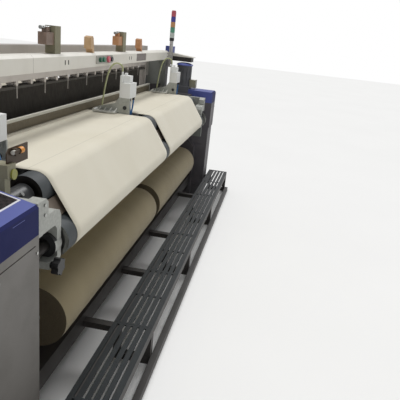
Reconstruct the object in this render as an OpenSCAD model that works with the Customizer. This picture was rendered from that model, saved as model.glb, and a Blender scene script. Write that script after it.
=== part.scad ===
// Power loom that weaves two cloths side by side with an air jet.
// X runs from the left end to the right end, the weaver stands at -Y, and Z is up from the floor.

/* [Machine] */
// Distance over the outer faces of the two side frames
frame_span = 3360; // [3280:10:3500]
// Thickness of a side frame
frame_t = 90; // [75:5:105]
// Length over the two ends
machine_l = 4000; // [3900:10:4200]
// Height of the cloth line above the floor
shed_z = 1000; // [990:1:1015]
// Radial clearance of a shaft in its bearing
run_fit = 0.1; // [0.05:0.05:0.1]
// Clearance between parts that lie side by side
gap_c = 0.4; // [0.3:0.1:0.5]

/* [Cloth] */
// Width over both cloths
cloth_w = 2700; // [2600:10:2740]
// Gap between the two cloths
gap_w = 85; // [75:1:100]
// Place of the middle of the gap along X
gap_x = 55; // [40:1:70]
// Thickness of the cloth and of the warp sheet
cloth_t = 1.2; // [1:0.1:1.6]
// Place of the cloth fell, where the weft is beaten in
fell_y = -278; // [-282:1:-278]

/* [Front rollers] */
// Radius of the upper roller
breast_r = 64; // [58:1:66]
// Place of the upper roller
breast_y = -610; // [-614:1:-606]
// Radius of the take-up roller
take_up_r = 66; // [62:1:68]
// Place of the take-up roller
take_up_y = -705; // [-709:1:-703]
// Height of the take-up roller above the floor
take_up_z = 785; // [780:1:790]
// Length of the front rollers past the cloth at each end
roller_over = 70; // [50:1:74]
// Radius of the roller shafts
shaft_r = 22; // [18:1:24]
// Radius of the press roller
press_r = 32; // [28:1:34]
// Place of the cloth roll
roll_y = -605; // [-610:1:-600]
// Height of the cloth roll above the floor
roll_z = 412; // [405:1:420]
// Radius of the wound cloth
roll_r = 132; // [110:1:140]

/* [Take-up gears] */
// Module of the take-up gears
take_module = 3; // [2.8:0.1:3]
// Teeth of the gear on the take-up roller
take_teeth = 48; // [44:1:48]
// Teeth of the take-up pinion
take_pinion_teeth = 18; // [17:1:19]
// Face width of the take-up gears
take_w = 24; // [16:1:26]

/* [Sley and reed] */
// Length of the reed
reed_l = 2920; // [2900:4:2960]
// Height of the reed
reed_h = 120; // [112:1:124]
// Depth of the reed from front to back
reed_d = 14; // [12:1:16]
// Place of the reed at rest
reed_y = -240; // [-242:1:-238]
// Gaps between the dents of the reed
reed_gaps = 120; // [100:2:120]
// Thickness of a dent
dent_t = 5; // [3:0.5:6]
// Height of the rocking shaft above the floor
rock_z = 600; // [590:1:610]
// Radius of the rocking shaft
rock_r = 40; // [34:1:44]

/* [Heald frames] */
// Front face of the first heald frame
heald_y = -178; // [-180:1:-176]
// Distance from one heald frame to the next
heald_pitch = 14; // [13:0.5:15]
// Thickness of a heald frame
heald_t = 10; // [8:0.5:11]
// Length of a heald between its two rods
heald_l = 380; // [370:2:390]
// Height of a heald frame's stave
stave_h = 165; // [150:1:170]
// Travel of a heald frame up and down from the middle
heald_lift = 45; // [35:1:48]

/* [Warp] */
// Place of the warp beam
beam_y = 620; // [610:1:630]
// Height of the warp beam above the floor
beam_z = 430; // [426:1:440]
// Radius of the warp beam's flanges
flange_r = 400; // [380:1:402]
// Radius of the wound warp
yarn_r = 290; // [250:1:320]
// Place of the back-rest roller
backrest_y = 760; // [750:1:770]
// Radius of the back-rest roller
backrest_r = 70; // [60:1:74]
// Module of the warp beam's gear
beam_module = 5; // [4.5:0.1:5]
// Teeth of the warp beam's gear
beam_teeth = 72; // [68:1:72]
// Teeth of the let-off pinion
let_off_teeth = 18; // [17:1:19]

/* [Top beam] */
// Front face of the top beam
top_y = -350; // [-354:1:-346]
// Height of the top beam's underside above the floor
top_z = 1275; // [1270:1:1285]
// Height of the top beam
top_h = 75; // [65:1:80]
// Depth of the top beam
top_d = 80; // [70:1:84]
// Height of the signal lamps' top above the floor
tower_top = 1700; // [1680:1:1720]

/* [Footboard] */
// Height of the footboard above the floor
foot_z = 200; // [180:1:220]
// Inner edge of the footboard
foot_in_y = -805; // [-812:1:-800]
// Width of the footboard
foot_w = 185; // [180:1:195]
// Distance from one row of slots to the next
slot_pitch = 32; // [30:0.5:33]
// Width of a slot in the footboard
slot_w = 10; // [6:0.5:14]

/* [Cabinets] */
// Front face of the cabinets at both ends
cab_y = -795; // [-798:1:-790]
// Depth of the cabinets at both ends
cab_d = 235; // [215:1:245]
// Height of the cabinets' front edge
cab_z = 1011; // [1000:1:1020]
// Height of the blue band on the cabinets
band_h = 89; // [70:1:110]
// Width of the right cabinet
right_w = 220; // [200:1:240]

/* [Hidden] */
$fn = 64;

frame_out = frame_span / 2;
frame_in = frame_out - frame_t;
end_x = machine_l / 2;
cloth_x = cloth_w / 2;
roller_x = cloth_x + roller_over;
bush_x = roller_x + 8;
shaft_end = frame_out - 12;
foot_h = 30;
heald_n = 4;

breast_z = shed_z - cloth_t / 2 - gap_c - breast_r;
press_shaft_r = 12;
press_at = -20;
press_dist = take_up_r + press_r + 2 * gap_c + cloth_t;
press_y = take_up_y + press_dist * cos(press_at);
press_z = take_up_z + press_dist * sin(press_at);

take_gear_r = take_module * take_teeth / 2;
take_pinion_r = take_module * take_pinion_teeth / 2;
take_at = -75;
take_dist = take_gear_r + take_pinion_r;
take_pinion_y = take_up_y + take_dist * cos(take_at);
take_pinion_z = take_up_z + take_dist * sin(take_at);
take_x = frame_in - 70;

beam_gear_r = beam_module * beam_teeth / 2;
let_off_r = beam_module * let_off_teeth / 2;
let_off_at = 200;
let_off_dist = beam_gear_r + let_off_r;
let_off_y = beam_y + let_off_dist * cos(let_off_at);
let_off_z = beam_z + let_off_dist * sin(let_off_at);
flange_x = cloth_x + 50;
flange_t = 14;
beam_gear_x = flange_x + flange_t + 16;
beam_gear_w = 36;

reed_x = reed_l / 2;
nozzle_out = 110;
sley_x = max(reed_x, cloth_x + nozzle_out);
reed_z = shed_z - 60;
dent_pitch = (reed_l - 40) / reed_gaps;
dent_x0 = -dent_pitch * reed_gaps / 2;
heald_x = frame_in - 40;
sley_top = reed_z + 15;

backrest_z = shed_z - cloth_t / 2 - gap_c - backrest_r;
pivot_y = backrest_y - 120;
pivot_z = backrest_z - 49;
pivot_r = 20;
lever_x = roller_x + 80;
lever_t = 30;

main_y = -60;
main_z = 420;
main_r = 30;
motor_y = 330;
motor_z = 300;
pulley_x = frame_out + 40;
pulley_w = 60;
main_pulley_r = 150;
motor_pulley_r = 60;
belt_t = 8;

post_y0 = top_y;
post_y1 = heald_y + heald_n * heald_pitch + 20;
frame_front = -680;
frame_back = 830;
foot_out_y = foot_in_y - foot_w;

// A profile drawn in Y and Z, run along X from x0 for the length l
module along_x(x0, l) {
  translate([x0, 0, 0]) rotate([90, 0, 90]) linear_extrude(l) children();
}

// A profile drawn in X and Z, run along Y from y0 for the length l
module along_y(y0, l) {
  translate([0, y0 + l, 0]) rotate([90, 0, 0]) linear_extrude(l) children();
}

// A box between two corners
module block(a, b) {
  translate(a) cube(b - a);
}

// A round bar along X
module rod_x(x0, l, y, z, r) {
  translate([x0, y, z]) rotate([0, 90, 0]) cylinder(r = r, h = l);
}

// A rectangle with round corners
module round_rect(x, y, w, h, r) {
  translate([x + r, y]) square([w - 2 * r, h]);
  translate([x, y + r]) square([w, h - 2 * r]);
  for (cx = [x + r, x + w - r], cy = [y + r, y + h - r]) translate([cx, cy]) circle(r);
}

// A gear's outline with involute flanks, a tooth lying on the direction at
function inv(a) = tan(a) * 180 / PI - a;
function half_tooth(m, z, r) = let (rb = m * z / 2 * cos(20))
  90 / z - 5 / z + inv(20) - inv(acos(min(1, rb / r)));
function tooth_pts(m, z, a) = let (
    rp = m * z / 2,
    rb = rp * cos(20),
    rs = [max(rp - 1.25 * m, 1), max(rb, rp - 0.9 * m) + 0.01, rp - 0.35 * m, rp + 0.35 * m, rp + 0.9 * m],
    hs = [for (i = [0:4]) half_tooth(m, z, max(rs[i], rs[1])) + (i == 0 ? 12 / z : 0)]
  ) concat(
    [for (i = [0:4]) rs[i] * [cos(a - hs[i]), sin(a - hs[i])]],
    [for (i = [4:-1:0]) rs[i] * [cos(a + hs[i]), sin(a + hs[i])]]
  );
module gear_2d(m, z, at) {
  polygon([for (k = [0:z - 1]) each tooth_pts(m, z, at + k * 360 / z)]);
}

// Side frames

module window(y, z, w, h) {
  translate([y, z]) round_rect(0, 0, w, h, 36);
}

module frame_outline() {
  polygon([
    [frame_front, foot_h], [frame_front, 500], [-600, 585], [-600, 985], [-420, 985],
    [post_y0, 1030], [post_y0, top_z], [post_y1, top_z], [post_y1, 1030], [-30, 960],
    [570, 960], [frame_back, 930], [frame_back, 250], [770, foot_h],
  ]);
}

module frame_windows() {
  window(-560, 120, 290, 170);
  window(-440, 350, 170, 180);
  window(-420, 690, 150, 230);
  window(-170, 110, 310, 190);
  window(40, 370, 220, 370);
  window(-160, 560, 140, 330);
  window(250, 110, 320, 150);
  window(300, 660, 260, 240);
}

module bearing_holes() {
  translate([roll_y, roll_z]) circle(shaft_r + run_fit);
  translate([reed_y, rock_z]) circle(30 + run_fit);
  translate([main_y, main_z]) circle(main_r + run_fit);
  translate([beam_y, beam_z]) circle(40 + run_fit);
  translate([pivot_y, pivot_z]) circle(pivot_r + run_fit);
}

// The heald frames' ends run in the grooves of these two blocks
module heald_guide(z0, h) {
  difference() {
    block([heald_x - 8, heald_y - 10, z0], [frame_in, post_y1 - 8, z0 + h]);
    for (k = [0:heald_n - 1]) {
      y = heald_y + k * heald_pitch;
      block([heald_x - 9, y - gap_c, z0 - 1], [heald_x + gap_c, y + heald_t + gap_c, z0 + h + 1]);
    }
  }
}

module side_frame() {
  rim = 26;
  color("#6F6D6E") {
    difference() {
      along_x(frame_in, frame_t) difference() {
        frame_outline();
        frame_windows();
        bearing_holes();
      }
      // Hollow fields in the casting, between its ribs
      along_x(frame_in - 1, rim + 1) {
        window(-660, 60, 80, 280);
        window(590, 560, 110, 230);
        window(620, 60, 110, 160);
      }
    }
    heald_guide(700, 80);
    heald_guide(shed_z + 120, 140);
    // Bolt heads of the post's inner cover
    for (z = [top_z - 215, top_z - 125, top_z - 35]) rod_x(frame_in - 6, 6, post_y0 + 30, z, 9);
  }
}

module left_side_frame() {
  mirror([1, 0, 0]) side_frame();
}

module right_side_frame() {
  side_frame();
}

module tube_beam(y, z, w, h, wall, end) {
  along_x(-end, 2 * end) difference() {
    translate([y, z]) square([w, h]);
    translate([y + wall, z + wall]) square([w - 2 * wall, h - 2 * wall]);
  }
}

// Top of the beam that carries the temple brackets, and thickness of the roller brackets' root plates
beam_top = 880;
plate_t = 30;

module cross_beams() {
  color("#3B3836") {
    tube_beam(-660, 130, 80, 90, 8, frame_in);
    tube_beam(-530, beam_top - 80, 80, 80, 8, frame_in - plate_t);
    tube_beam(-258, 120, 76, 100, 8, frame_in);
    tube_beam(152, 150, 86, 110, 8, frame_in);
    tube_beam(60, 850, 60, 60, 6, frame_in);
  }
}

foot_x = frame_in - 45;
foot_y = [-480, 700];
anchor_r = 11;

module levelling_feet() {
  color("#55524F") for (s = [0, 1], y = foot_y) mirror([s, 0, 0]) difference() {
    block([foot_x - 45, y - 75, 0], [frame_out, y + 75, foot_h]);
    translate([foot_x, y, -1]) cylinder(r = anchor_r, h = foot_h + 2);
  }
}

// Top beam and what it carries

top_end = frame_in + 50;
panel_x0 = -143;
panel_w = 266;
panel_z = top_z + 15;
panel_h = 46;
panel_t = 5;
button_z = panel_z + panel_h / 2;
button_r = 14;
button_out = 12;
button_x = [-94, -38, 38, 94];

module top_beam() {
  bevel = 12;
  color("#D9D5CB") difference() {
    along_x(-top_end, 2 * top_end) polygon([
      [top_y, top_z], [top_y, top_z + top_h - bevel], [top_y + bevel, top_z + top_h],
      [top_y + top_d - bevel, top_z + top_h], [top_y + top_d, top_z + top_h - bevel],
      [top_y + top_d, top_z],
    ]);
    for (x = [-547, -508, 482, 528])
      block([x - 5, top_y - 1, top_z + 24], [x + 5, top_y + 8, top_z + 46]);
    block([654, top_y - 1, top_z + 10], [905, top_y + 2, top_z + 62]);
    for (x = button_x) translate([x, top_y - 1, button_z]) rotate([-90, 0, 0])
      cylinder(r = button_r + 0.5, h = 9);
  }
}

guide_x = [-600, -165, 400, 800];

// Two kinds of heald-frame guide stand on the beam in turn.
// This kind clamps a cross rod beside its channel post
module clamp_guide(x) {
  half = 30;
  wall = 8;
  depth = 50;
  y0 = top_y + 14;
  z0 = top_z + top_h;
  rod_r = 8;
  rod_z = z0 + 115;
  translate([x, y0, z0]) linear_extrude(126) polygon([
    [-half, 0], [half, 0], [half, depth], [half - wall, depth], [half - wall, wall],
    [wall - half, wall], [wall - half, depth], [-half, depth],
  ]);
  // Clamp block, and the saddle that holds the rod on it
  block([x - half - 75, y0 + 6, z0 + 41], [x - half, y0 + 48, z0 + 96]);
  block([x - half - 50, y0 + 18, z0 + 96], [x - half - 20, y0 + 42, rod_z + 2]);
  rod_x(x - half - 88, 155, y0 + 30, rod_z, rod_r);
}

module plate_guide(x) {
  y0 = top_y + 14;
  z0 = top_z + top_h;
  along_y(y0, 40) polygon([
    [x - 26, z0 + 22], [x - 26, z0 + 82], [x + 4, z0 + 90], [x + 14, z0 + 78], [x + 30, z0],
    [x + 8, z0], [x - 2, z0 + 22],
  ]);
}

module frame_guides() {
  color("#C9A172") for (i = [0:len(guide_x) - 1])
    if (i % 2 == 0) clamp_guide(guide_x[i]); else plate_guide(guide_x[i]);
}

module button_panel() {
  color("#C4C1BA") difference() {
    block([panel_x0, top_y - panel_t, panel_z], [panel_x0 + panel_w, top_y, panel_z + panel_h]);
    for (x = button_x) translate([x, top_y - panel_t - 1, button_z]) rotate([-90, 0, 0])
      cylinder(r = button_r + 0.5, h = panel_t + 2);
  }
}

module button(i, r) {
  face = top_y - panel_t - button_out;
  translate([button_x[i], face, button_z]) rotate([-90, 0, 0]) {
    cylinder(r = r, h = button_out - 5);
    cylinder(r = button_r, h = button_out + panel_t - 2);
  }
}

module start_button() {
  color("#1E6B50") button(0, button_r);
}

module jog_button() {
  color("#2E8060") button(1, button_r);
}

module stop_button() {
  color("#D9606E") button(2, button_r + 5);
}

module reset_button() {
  color("#2B2A2C") button(3, button_r);
}

// Cabinets at the two ends

band_z = cab_z - band_h;
console_rise = cab_d * tan(12);

module cabinet_body(x0, x1, step_z) {
  difference() {
    block([x0, cab_y, 0], [x1, cab_y + cab_d, band_z]);
    block([x0 - 1, cab_y - 1, -1], [x1 + 1, cab_y + 18, 90]);
    if (step_z > 0) block([x0 - 1, cab_y - 1, -2], [x1 + 1, cab_y + 8, step_z]);
  }
}

module left_cabinet() {
  color("#B9B7B2") difference() {
    cabinet_body(-end_x, -frame_out, 0);
    // Joint lines of the front cover
    for (z = [140, band_z - 30]) block([-end_x + 20, cab_y - 1, z], [-frame_out - 20, cab_y + 3, z + 4]);
    block([-end_x + 20, cab_y - 1, 140], [-end_x + 24, cab_y + 3, band_z - 30]);
  }
}

// Blue covers on top of both cabinets, the left one with its display field
module consoles() {
  recess = 12;
  field = [-end_x + 24, -frame_out - 12, 56, cab_d - 30];
  color("#2F3A86") difference() {
    along_x(-end_x, end_x - frame_out) polygon([
      [cab_y, band_z], [cab_y, cab_z - 8], [cab_y + 8, cab_z],
      [cab_y + cab_d, cab_z + console_rise], [cab_y + cab_d, band_z],
    ]);
    // Sunk field for the display
    translate([0, cab_y, cab_z]) rotate([12, 0, 0])
      block([field[0], field[2], -recess], [field[1], field[3], 40]);
  }
  color("#1B1B1E") translate([0, cab_y, cab_z]) rotate([12, 0, 0])
    block([field[0] + gap_c, field[2] + gap_c, -recess], [field[1] - gap_c, field[3] - gap_c, -2]);
  color("#3A4490") along_x(frame_out, right_w) polygon([
    [cab_y, band_z], [cab_y, cab_z - 2], [cab_y + 12, cab_z + 10],
    [cab_y + cab_d, cab_z + 10], [cab_y + cab_d, band_z],
  ]);
}

ecab_y = [-60, 460];
ecab_z = [160, 1150];
ecab_x = frame_out + 220;
door_t = 20;

module electric_cabinet() {
  color("#D0CEC8") difference() {
    block([-ecab_x, ecab_y[0], ecab_z[0]], [-frame_out, ecab_y[1], ecab_z[1]]);
    block([-ecab_x - 1, ecab_y[0] + 20, ecab_z[0] + 20], [-ecab_x + 160, ecab_y[1] - 20, ecab_z[1] - 20]);
  }
  // Drives and terminal rails on the mounting plate
  color("#8F8D88") for (z = [ecab_z[0] + 120, ecab_z[0] + 460])
    block([-ecab_x + 40, ecab_y[0] + 90, z], [-ecab_x + 160, ecab_y[1] - 90, z + 240]);
}

module cabinet_door() {
  x1 = -ecab_x - gap_c;
  color("#C6C4BE") {
    block([x1 - door_t, ecab_y[0] + 2, ecab_z[0]], [x1, ecab_y[1], ecab_z[1]]);
    translate([x1 - door_t - 14, ecab_y[0] + 40, (ecab_z[0] + ecab_z[1]) / 2])
      rotate([0, 90, 0]) cylinder(r = 16, h = 14);
    translate([x1 - door_t / 2, ecab_y[1], ecab_z[0]]) cylinder(r = door_t / 2, h = ecab_z[1] - ecab_z[0]);
  }
}

module right_cabinet() {
  color("#4A464B") difference() {
    cabinet_body(frame_out, frame_out + right_w, 690);
    for (z = [110, 520]) block([frame_out - 1, cab_y + 60, z], [frame_out + 4, cab_y + cab_d - 40, z + 6]);
  }
}

// Light shelf on a dark box behind the signal lamps, with the lamps' relay box on it
shelf_y0 = top_y - 220;
shelf_y1 = top_y + 50;
shelf_x = frame_out + 36;
shelf_z = top_z + 28;
shelf_w = 116;

function shelf_top(y) = shelf_z + 10 + (y - shelf_y0) * 0.1;

module right_shelf() {
  color("#3A3836") {
    block([shelf_x, shelf_y0 + 15, shelf_z - 36], [shelf_x + shelf_w, shelf_y1, shelf_z + 4]);
    block([frame_out, shelf_y1 - 40, top_z - 92], [shelf_x, shelf_y1 + 20, shelf_z + 4]);
  }
  color("#D8D6CE") along_x(shelf_x - 2, shelf_w + 12) polygon([
    [shelf_y0, shelf_z + 4], [shelf_y0, shelf_top(shelf_y0)],
    [shelf_y1, shelf_top(shelf_y1)], [shelf_y1, shelf_z + 4],
  ]);
  color("#2F3A86") along_x(shelf_x + 12, 90) polygon([
    [shelf_y1 - 70, shelf_top(shelf_y1 - 70)], [shelf_y1 - 70, shelf_z + 87],
    [shelf_y1, shelf_z + 87], [shelf_y1, shelf_top(shelf_y1)],
  ]);
}

// Main drive at the right end

module main_motor() {
  x0 = pulley_x + pulley_w + 30;
  color("#4C5054") {
    difference() {
      union() {
        rod_x(x0, 150, motor_y, motor_z, 110);
        // Cooling ribs round the stator
        for (a = [0:20:340]) translate([x0 + 12, motor_y, motor_z]) rotate([a, 0, 0])
          block([0, -3, 100], [110, 3, 122]);
      }
      rod_x(x0 - 1, 40, motor_y, motor_z, 14 + run_fit);
    }
    block([frame_out, motor_y - 130, 130], [x0 + 140, motor_y + 130, 170]);
    for (x = [x0 + 20, x0 + 100]) block([x, motor_y - 70, 170], [x + 24, motor_y + 70, motor_z - 100]);
  }
}

fan_r = 70;
fan_h = 188;
fan_x = frame_out + 90;
fan_y = cab_y + cab_d + fan_r;
fan_z = cab_z + 34;

// Upright motor with a domed cap, on its own housing behind the right cabinet
module fan_motor() {
  color("#6A6A5E")
    block([frame_out, cab_y + cab_d, fan_z - 380], [frame_out + 170, cab_y + cab_d + 140, fan_z]);
  color("#3C3B3D") difference() {
    translate([fan_x, fan_y, fan_z]) cylinder(r = fan_r, h = fan_h);
    for (a = [0:30:330]) translate([fan_x, fan_y, fan_z + 20]) rotate([0, 0, a])
      block([fan_r - 5, -3, 0], [fan_r + 2, 3, fan_h - 44]);
  }
  // Terminal box with its cover
  color("#8C8A70") {
    block([fan_x - 40, fan_y - fan_r - 46, fan_z - 8], [fan_x + 40, fan_y - fan_r + 8, fan_z + 62]);
    block([fan_x - 43, fan_y - fan_r - 52, fan_z - 11], [fan_x + 43, fan_y - fan_r - 46, fan_z + 65]);
  }
  color("#4A55A8") translate([fan_x, fan_y, fan_z + fan_h])
    rotate_extrude() polygon([[0, 0], [78, 0], [77, 8], [64, 17], [37, 24], [0, 26]]);
}

module pulley(x, y, z, r, bore) {
  difference() {
    union() {
      rod_x(x, pulley_w, y, z, r);
      rod_x(x - 4, 4, y, z, r + 7);
      rod_x(x + pulley_w, 4, y, z, r + 7);
    }
    if (bore > 0) rod_x(x - 6, pulley_w + 12, y, z, bore);
  }
}

module motor_pulley() {
  color("#7C7F82") {
    pulley(pulley_x, motor_y, motor_z, motor_pulley_r, 0);
    rod_x(pulley_x + pulley_w, 66, motor_y, motor_z, 14);
  }
}

module main_shaft() {
  color("#8A8C8E") {
    rod_x(-shaft_end, shaft_end + pulley_x + pulley_w + 20, main_y, main_z, main_r);
    for (x = [-frame_in + 60, frame_in - 120]) rod_x(x, 60, main_y, main_z, 70);
    difference() {
      pulley(pulley_x, main_y, main_z, main_pulley_r, 0);
      for (a = [0:60:300]) rod_x(pulley_x - 6, pulley_w + 12, main_y + 92 * cos(a), main_z + 92 * sin(a), 30);
    }
  }
}

// Belt round both pulleys, as arcs joined by the two outer tangents
module drive_belt() {
  d = [motor_y - main_y, motor_z - main_z];
  dist = norm(d);
  dir = atan2(d[1], d[0]);
  lean = asin((main_pulley_r - motor_pulley_r) / dist);
  a0 = 90 - lean;
  function arc(c, r, from, to) = [for (i = [0:24]) let (a = dir + from + (to - from) * i / 24)
    [c[0] + r * cos(a), c[1] + r * sin(a)]];
  function loop(t) = concat(
    arc([main_y, main_z], main_pulley_r + t, a0, 360 - a0),
    arc([motor_y, motor_z], motor_pulley_r + t, -a0, a0));
  color("#242324") along_x(pulley_x + 4, pulley_w - 8) difference() {
    polygon(loop(gap_c + belt_t));
    polygon(loop(gap_c + 0.4));
  }
}

// Footboard with its slotted deck

deck_t = 6;
deck_joints = [-end_x, -975, -410, 185, 1130, end_x];
slot_rows = 5;
slot_y0 = foot_in_y - foot_w / 2 + slot_pitch * 2 + 2;

module deck_section(x0, x1) {
  edge = 12;
  difference() {
    block([x0, foot_out_y, foot_z - deck_t], [x1, foot_in_y, foot_z]);
    for (k = [0:slot_rows - 1]) {
      y = slot_y0 - k * slot_pitch;
      n = 2;
      l = (x1 - x0 - edge) / n;
      for (i = [0:n - 1])
        block(
          [x0 + edge + i * l, y - slot_w / 2, foot_z - deck_t - 1],
          [x0 + i * l + l, y + slot_w / 2, foot_z + 1]);
    }
  }
}

module footboard_deck() {
  color("#50585C") for (i = [0:len(deck_joints) - 2])
    deck_section(deck_joints[i] + (i > 0 ? 1 : 0), deck_joints[i + 1]);
}

leg_x = [100 - end_x, -975, -20, 930, end_x - 40];
leg_w = 40;

module footboard_frame() {
  color("#2A2622") {
    for (y = [foot_out_y, foot_in_y - 30])
      block([-end_x, y, foot_z - deck_t - 40], [end_x, y + 30, foot_z - deck_t]);
    block([-end_x, foot_out_y - 30, 0], [end_x, foot_out_y, 36]);
    // Brackets that hook the footboard to the cabinets
    block([-end_x + 90, foot_in_y, foot_z - 40], [-end_x + 130, cab_y, foot_z - 12]);
    block([end_x - 200, foot_in_y, foot_z - 40], [end_x - 160, cab_y + 8, foot_z - 12]);
    // Arms from the front cross beam under the deck's joints
    for (i = [1:len(deck_joints) - 2])
      block([deck_joints[i] - 20, foot_in_y, foot_z - 46], [deck_joints[i] + 20, -660, foot_z - 16]);
    for (x = leg_x) {
      block([x, foot_out_y, 0], [x + leg_w, foot_out_y + 30, foot_z - deck_t - 40]);
      block([x, foot_in_y - 30, 0], [x + leg_w, foot_in_y, foot_z - deck_t - 40]);
      block([x, foot_out_y + 30, 0], [x + leg_w, foot_in_y - 30, 30]);
    }
  }
}

// Front rollers, their brackets and the take-up gears

module roller(y, z, r, sr) {
  difference() {
    rod_x(-roller_x, 2 * roller_x, y, z, r);
    for (s = [-1, 1]) rod_x(s * roller_x - 6, 12, y, z, r - 14);
  }
  rod_x(-frame_in + 6, 2 * frame_in - 12, y, z, sr);
}

module breast_roller() {
  color("#4A4D4E") roller(breast_y, breast_z, breast_r, shaft_r);
}

module take_up_roller() {
  color("#4A4D4E") {
    roller(take_up_y, take_up_z, take_up_r, shaft_r);
  }
  color("#8D8F90") difference() {
    translate([0, take_up_y, take_up_z]) along_x(take_x, take_w) gear_2d(take_module, take_teeth, take_at);
    rod_x(take_x - 1, take_w + 2, take_up_y, take_up_z, shaft_r);
    for (a = [30:60:330])
      rod_x(take_x - 1, take_w + 2, take_up_y + 44 * cos(a), take_up_z + 44 * sin(a), 13);
  }
}

module take_up_pinion() {
  color("#9A9B9A") {
    translate([0, take_pinion_y, take_pinion_z]) along_x(take_x, take_w)
      gear_2d(take_module, take_pinion_teeth, take_at + 180 + 180 / take_pinion_teeth);
    rod_x(take_x + take_w, frame_in - take_x - take_w - 6, take_pinion_y, take_pinion_z, 12);
  }
}

module press_roller() {
  color("#55575A") roller(press_y, press_z, press_r, press_shaft_r);
}

module gearboxes() {
  box_x = frame_in - 38;
  color("#7F837F") {
    difference() {
      along_x(box_x, frame_in - box_x) polygon([
        [take_pinion_y - 60, take_pinion_z - 70], [take_pinion_y - 60, take_pinion_z + 36],
        [take_pinion_y + 26, take_pinion_z + 36], [take_pinion_y + 26, 696], [-540, 696],
        [-540, take_pinion_z - 70],
      ]);
      rod_x(box_x - 1, 36, take_pinion_y, take_pinion_z, 12 + run_fit);
    }
    difference() {
      block([frame_in - 60, let_off_y - 100, let_off_z - 110], [frame_in, let_off_y + 90, let_off_z + 90]);
      rod_x(frame_in - 61, 50, let_off_y, let_off_z, 22 + run_fit);
    }
  }
}

// Guard plate behind the cloth between the two rollers, on a web that runs to both root plates
module guard_plate() {
  t = 4;
  near = 41;
  reach = norm(take_c - breast_c);
  u = (take_c - breast_c) / reach;
  n = [u[1], -u[0]];
  a0 = sqrt(pow(breast_r + 3, 2) - near * near);
  a1 = reach - sqrt(pow(take_up_r + 3, 2) - near * near);
  mid = (a0 + a1) / 2;
  module strip(a, b, from, to) {
    polygon([breast_c + a * u + from * n, breast_c + b * u + from * n,
      breast_c + b * u + to * n, breast_c + a * u + to * n]);
  }
  color("#75695E") {
    along_x(-bush_x + 6, 2 * bush_x - 12) {
      strip(a0, a1, near, near + t);
      strip(mid - t / 2, mid + t / 2, 10, near + t / 2);
    }
    along_x(-frame_in + plate_t, 2 * (frame_in - plate_t)) strip(mid - t / 2, mid + t / 2, 10, 26);
  }
}

arm_y = take_up_y - 40;
handle_x = bush_x + 72;
handle_z = take_up_z - 53;
stud_r = 6;

// Cast bracket that carries the front rollers, drawn for the right end
module roller_bracket() {
  color("#B5B7B2") difference() {
    union() {
      along_x(frame_in - plate_t, plate_t) polygon([
        [-440, 700], [-440, 976], [arm_y, 976], [arm_y, 862], [take_up_y + 20, 862], [-640, 700],
      ]);
      // Upper arm
      along_y(arm_y, 45) polygon([
        [frame_in - plate_t, 908], [frame_in - plate_t, 976], [bush_x + 106, 976], [bush_x + 92, 962],
        [bush_x + 92, 925], [bush_x + 104, 908],
      ]);
      // Lower arm, which turns down to the take-up roller's bearing
      along_y(arm_y, 60) polygon([
        [frame_in - plate_t, 864], [frame_in - plate_t, 918], [bush_x + 42, 918], [bush_x + 12, 908],
        [bush_x, 885], [bush_x, 735], [bush_x + 10, 725], [bush_x + 26, 735], [bush_x + 32, 850],
        [bush_x + 46, 864],
      ]);
      // Lug for the star knob
      block([bush_x + 16, arm_y, handle_z - 13], [bush_x + 86, arm_y + 45, handle_z + 13]);
      rod_x(bush_x, 47, take_up_y, take_up_z, 44);
      rod_x(bush_x, frame_in - bush_x, breast_y, breast_z, 40);
      rod_x(bush_x, frame_in - bush_x, press_y, press_z, 20);
    }
    rod_x(bush_x - 1, frame_in - bush_x + 2, breast_y, breast_z, shaft_r + run_fit);
    rod_x(bush_x - 1, frame_in - bush_x + 2, take_up_y, take_up_z, shaft_r + run_fit);
    rod_x(bush_x - 1, frame_in - bush_x + 2, press_y, press_z, press_shaft_r + run_fit);
    translate([handle_x, arm_y - 1, handle_z]) rotate([-90, 0, 0]) cylinder(r = stud_r + run_fit, h = 47);
  }
}

module roller_brackets() {
  roller_bracket();
  mirror([1, 0, 0]) roller_bracket();
}

// Star knob of the cloth clamp, on its stud in the left bracket's lug
module clamp_handle() {
  color("#1C1B1C") translate([-handle_x, arm_y - 36, handle_z]) rotate([-90, 0, 0]) {
    difference() {
      cylinder(r = 30, h = 24);
      for (a = [0:60:300]) rotate([0, 0, a]) translate([36, 0, -1]) cylinder(r = 12, h = 26);
    }
    cylinder(r = 12, h = 36 - gap_c);
    cylinder(r = stud_r, h = 36 + 45);
  }
}

// Cloth from the fell over the front rollers down to the cloth roll

function dirv(a) = [cos(a), sin(a)];
function sweep_arc(c, r, from, to, n, side) =
  [for (i = [0:n]) let (a = from + (to - from) * i / n) [c + r * dirv(a), side * dirv(a)]];
// Direction of the normal of the line that touches two circles on the same side
function touch(c1, r1, c2, r2, s) = let (d = c2 - c1) atan2(d[1], d[0]) + s * acos((r1 - r2) / norm(d));
function sheet_outline(path, t) = concat(
  [for (p = path) p[0] + p[1] * t / 2],
  [for (i = [len(path) - 1:-1:0]) path[i][0] - path[i][1] * t / 2]);

off = gap_c + cloth_t / 2;
breast_c = [breast_y, breast_z];
take_c = [take_up_y, take_up_z];
press_c = [press_y, press_z];
roll_c = [roll_y, roll_z];
cloth_a1 = touch(breast_c, breast_r + off, take_c, take_up_r + off, -1) + 360;
cloth_a3 = touch(press_c, press_r + off, roll_c, roll_r + off, 1);
cloth_path = concat(
  [[[fell_y, shed_z], [0, 1]]],
  sweep_arc(breast_c, breast_r + off, 90, cloth_a1, 8, 1),
  sweep_arc(take_c, take_up_r + off, cloth_a1, 360 + press_at, 24, 1),
  sweep_arc(press_c, press_r + off, 180 + press_at, cloth_a3, 14, -1),
  [[roll_c + (roll_r + off) * dirv(cloth_a3), -dirv(cloth_a3)]]);
cloth_ends = [[-cloth_x, gap_x - gap_w / 2], [gap_x + gap_w / 2, cloth_x]];

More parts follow.
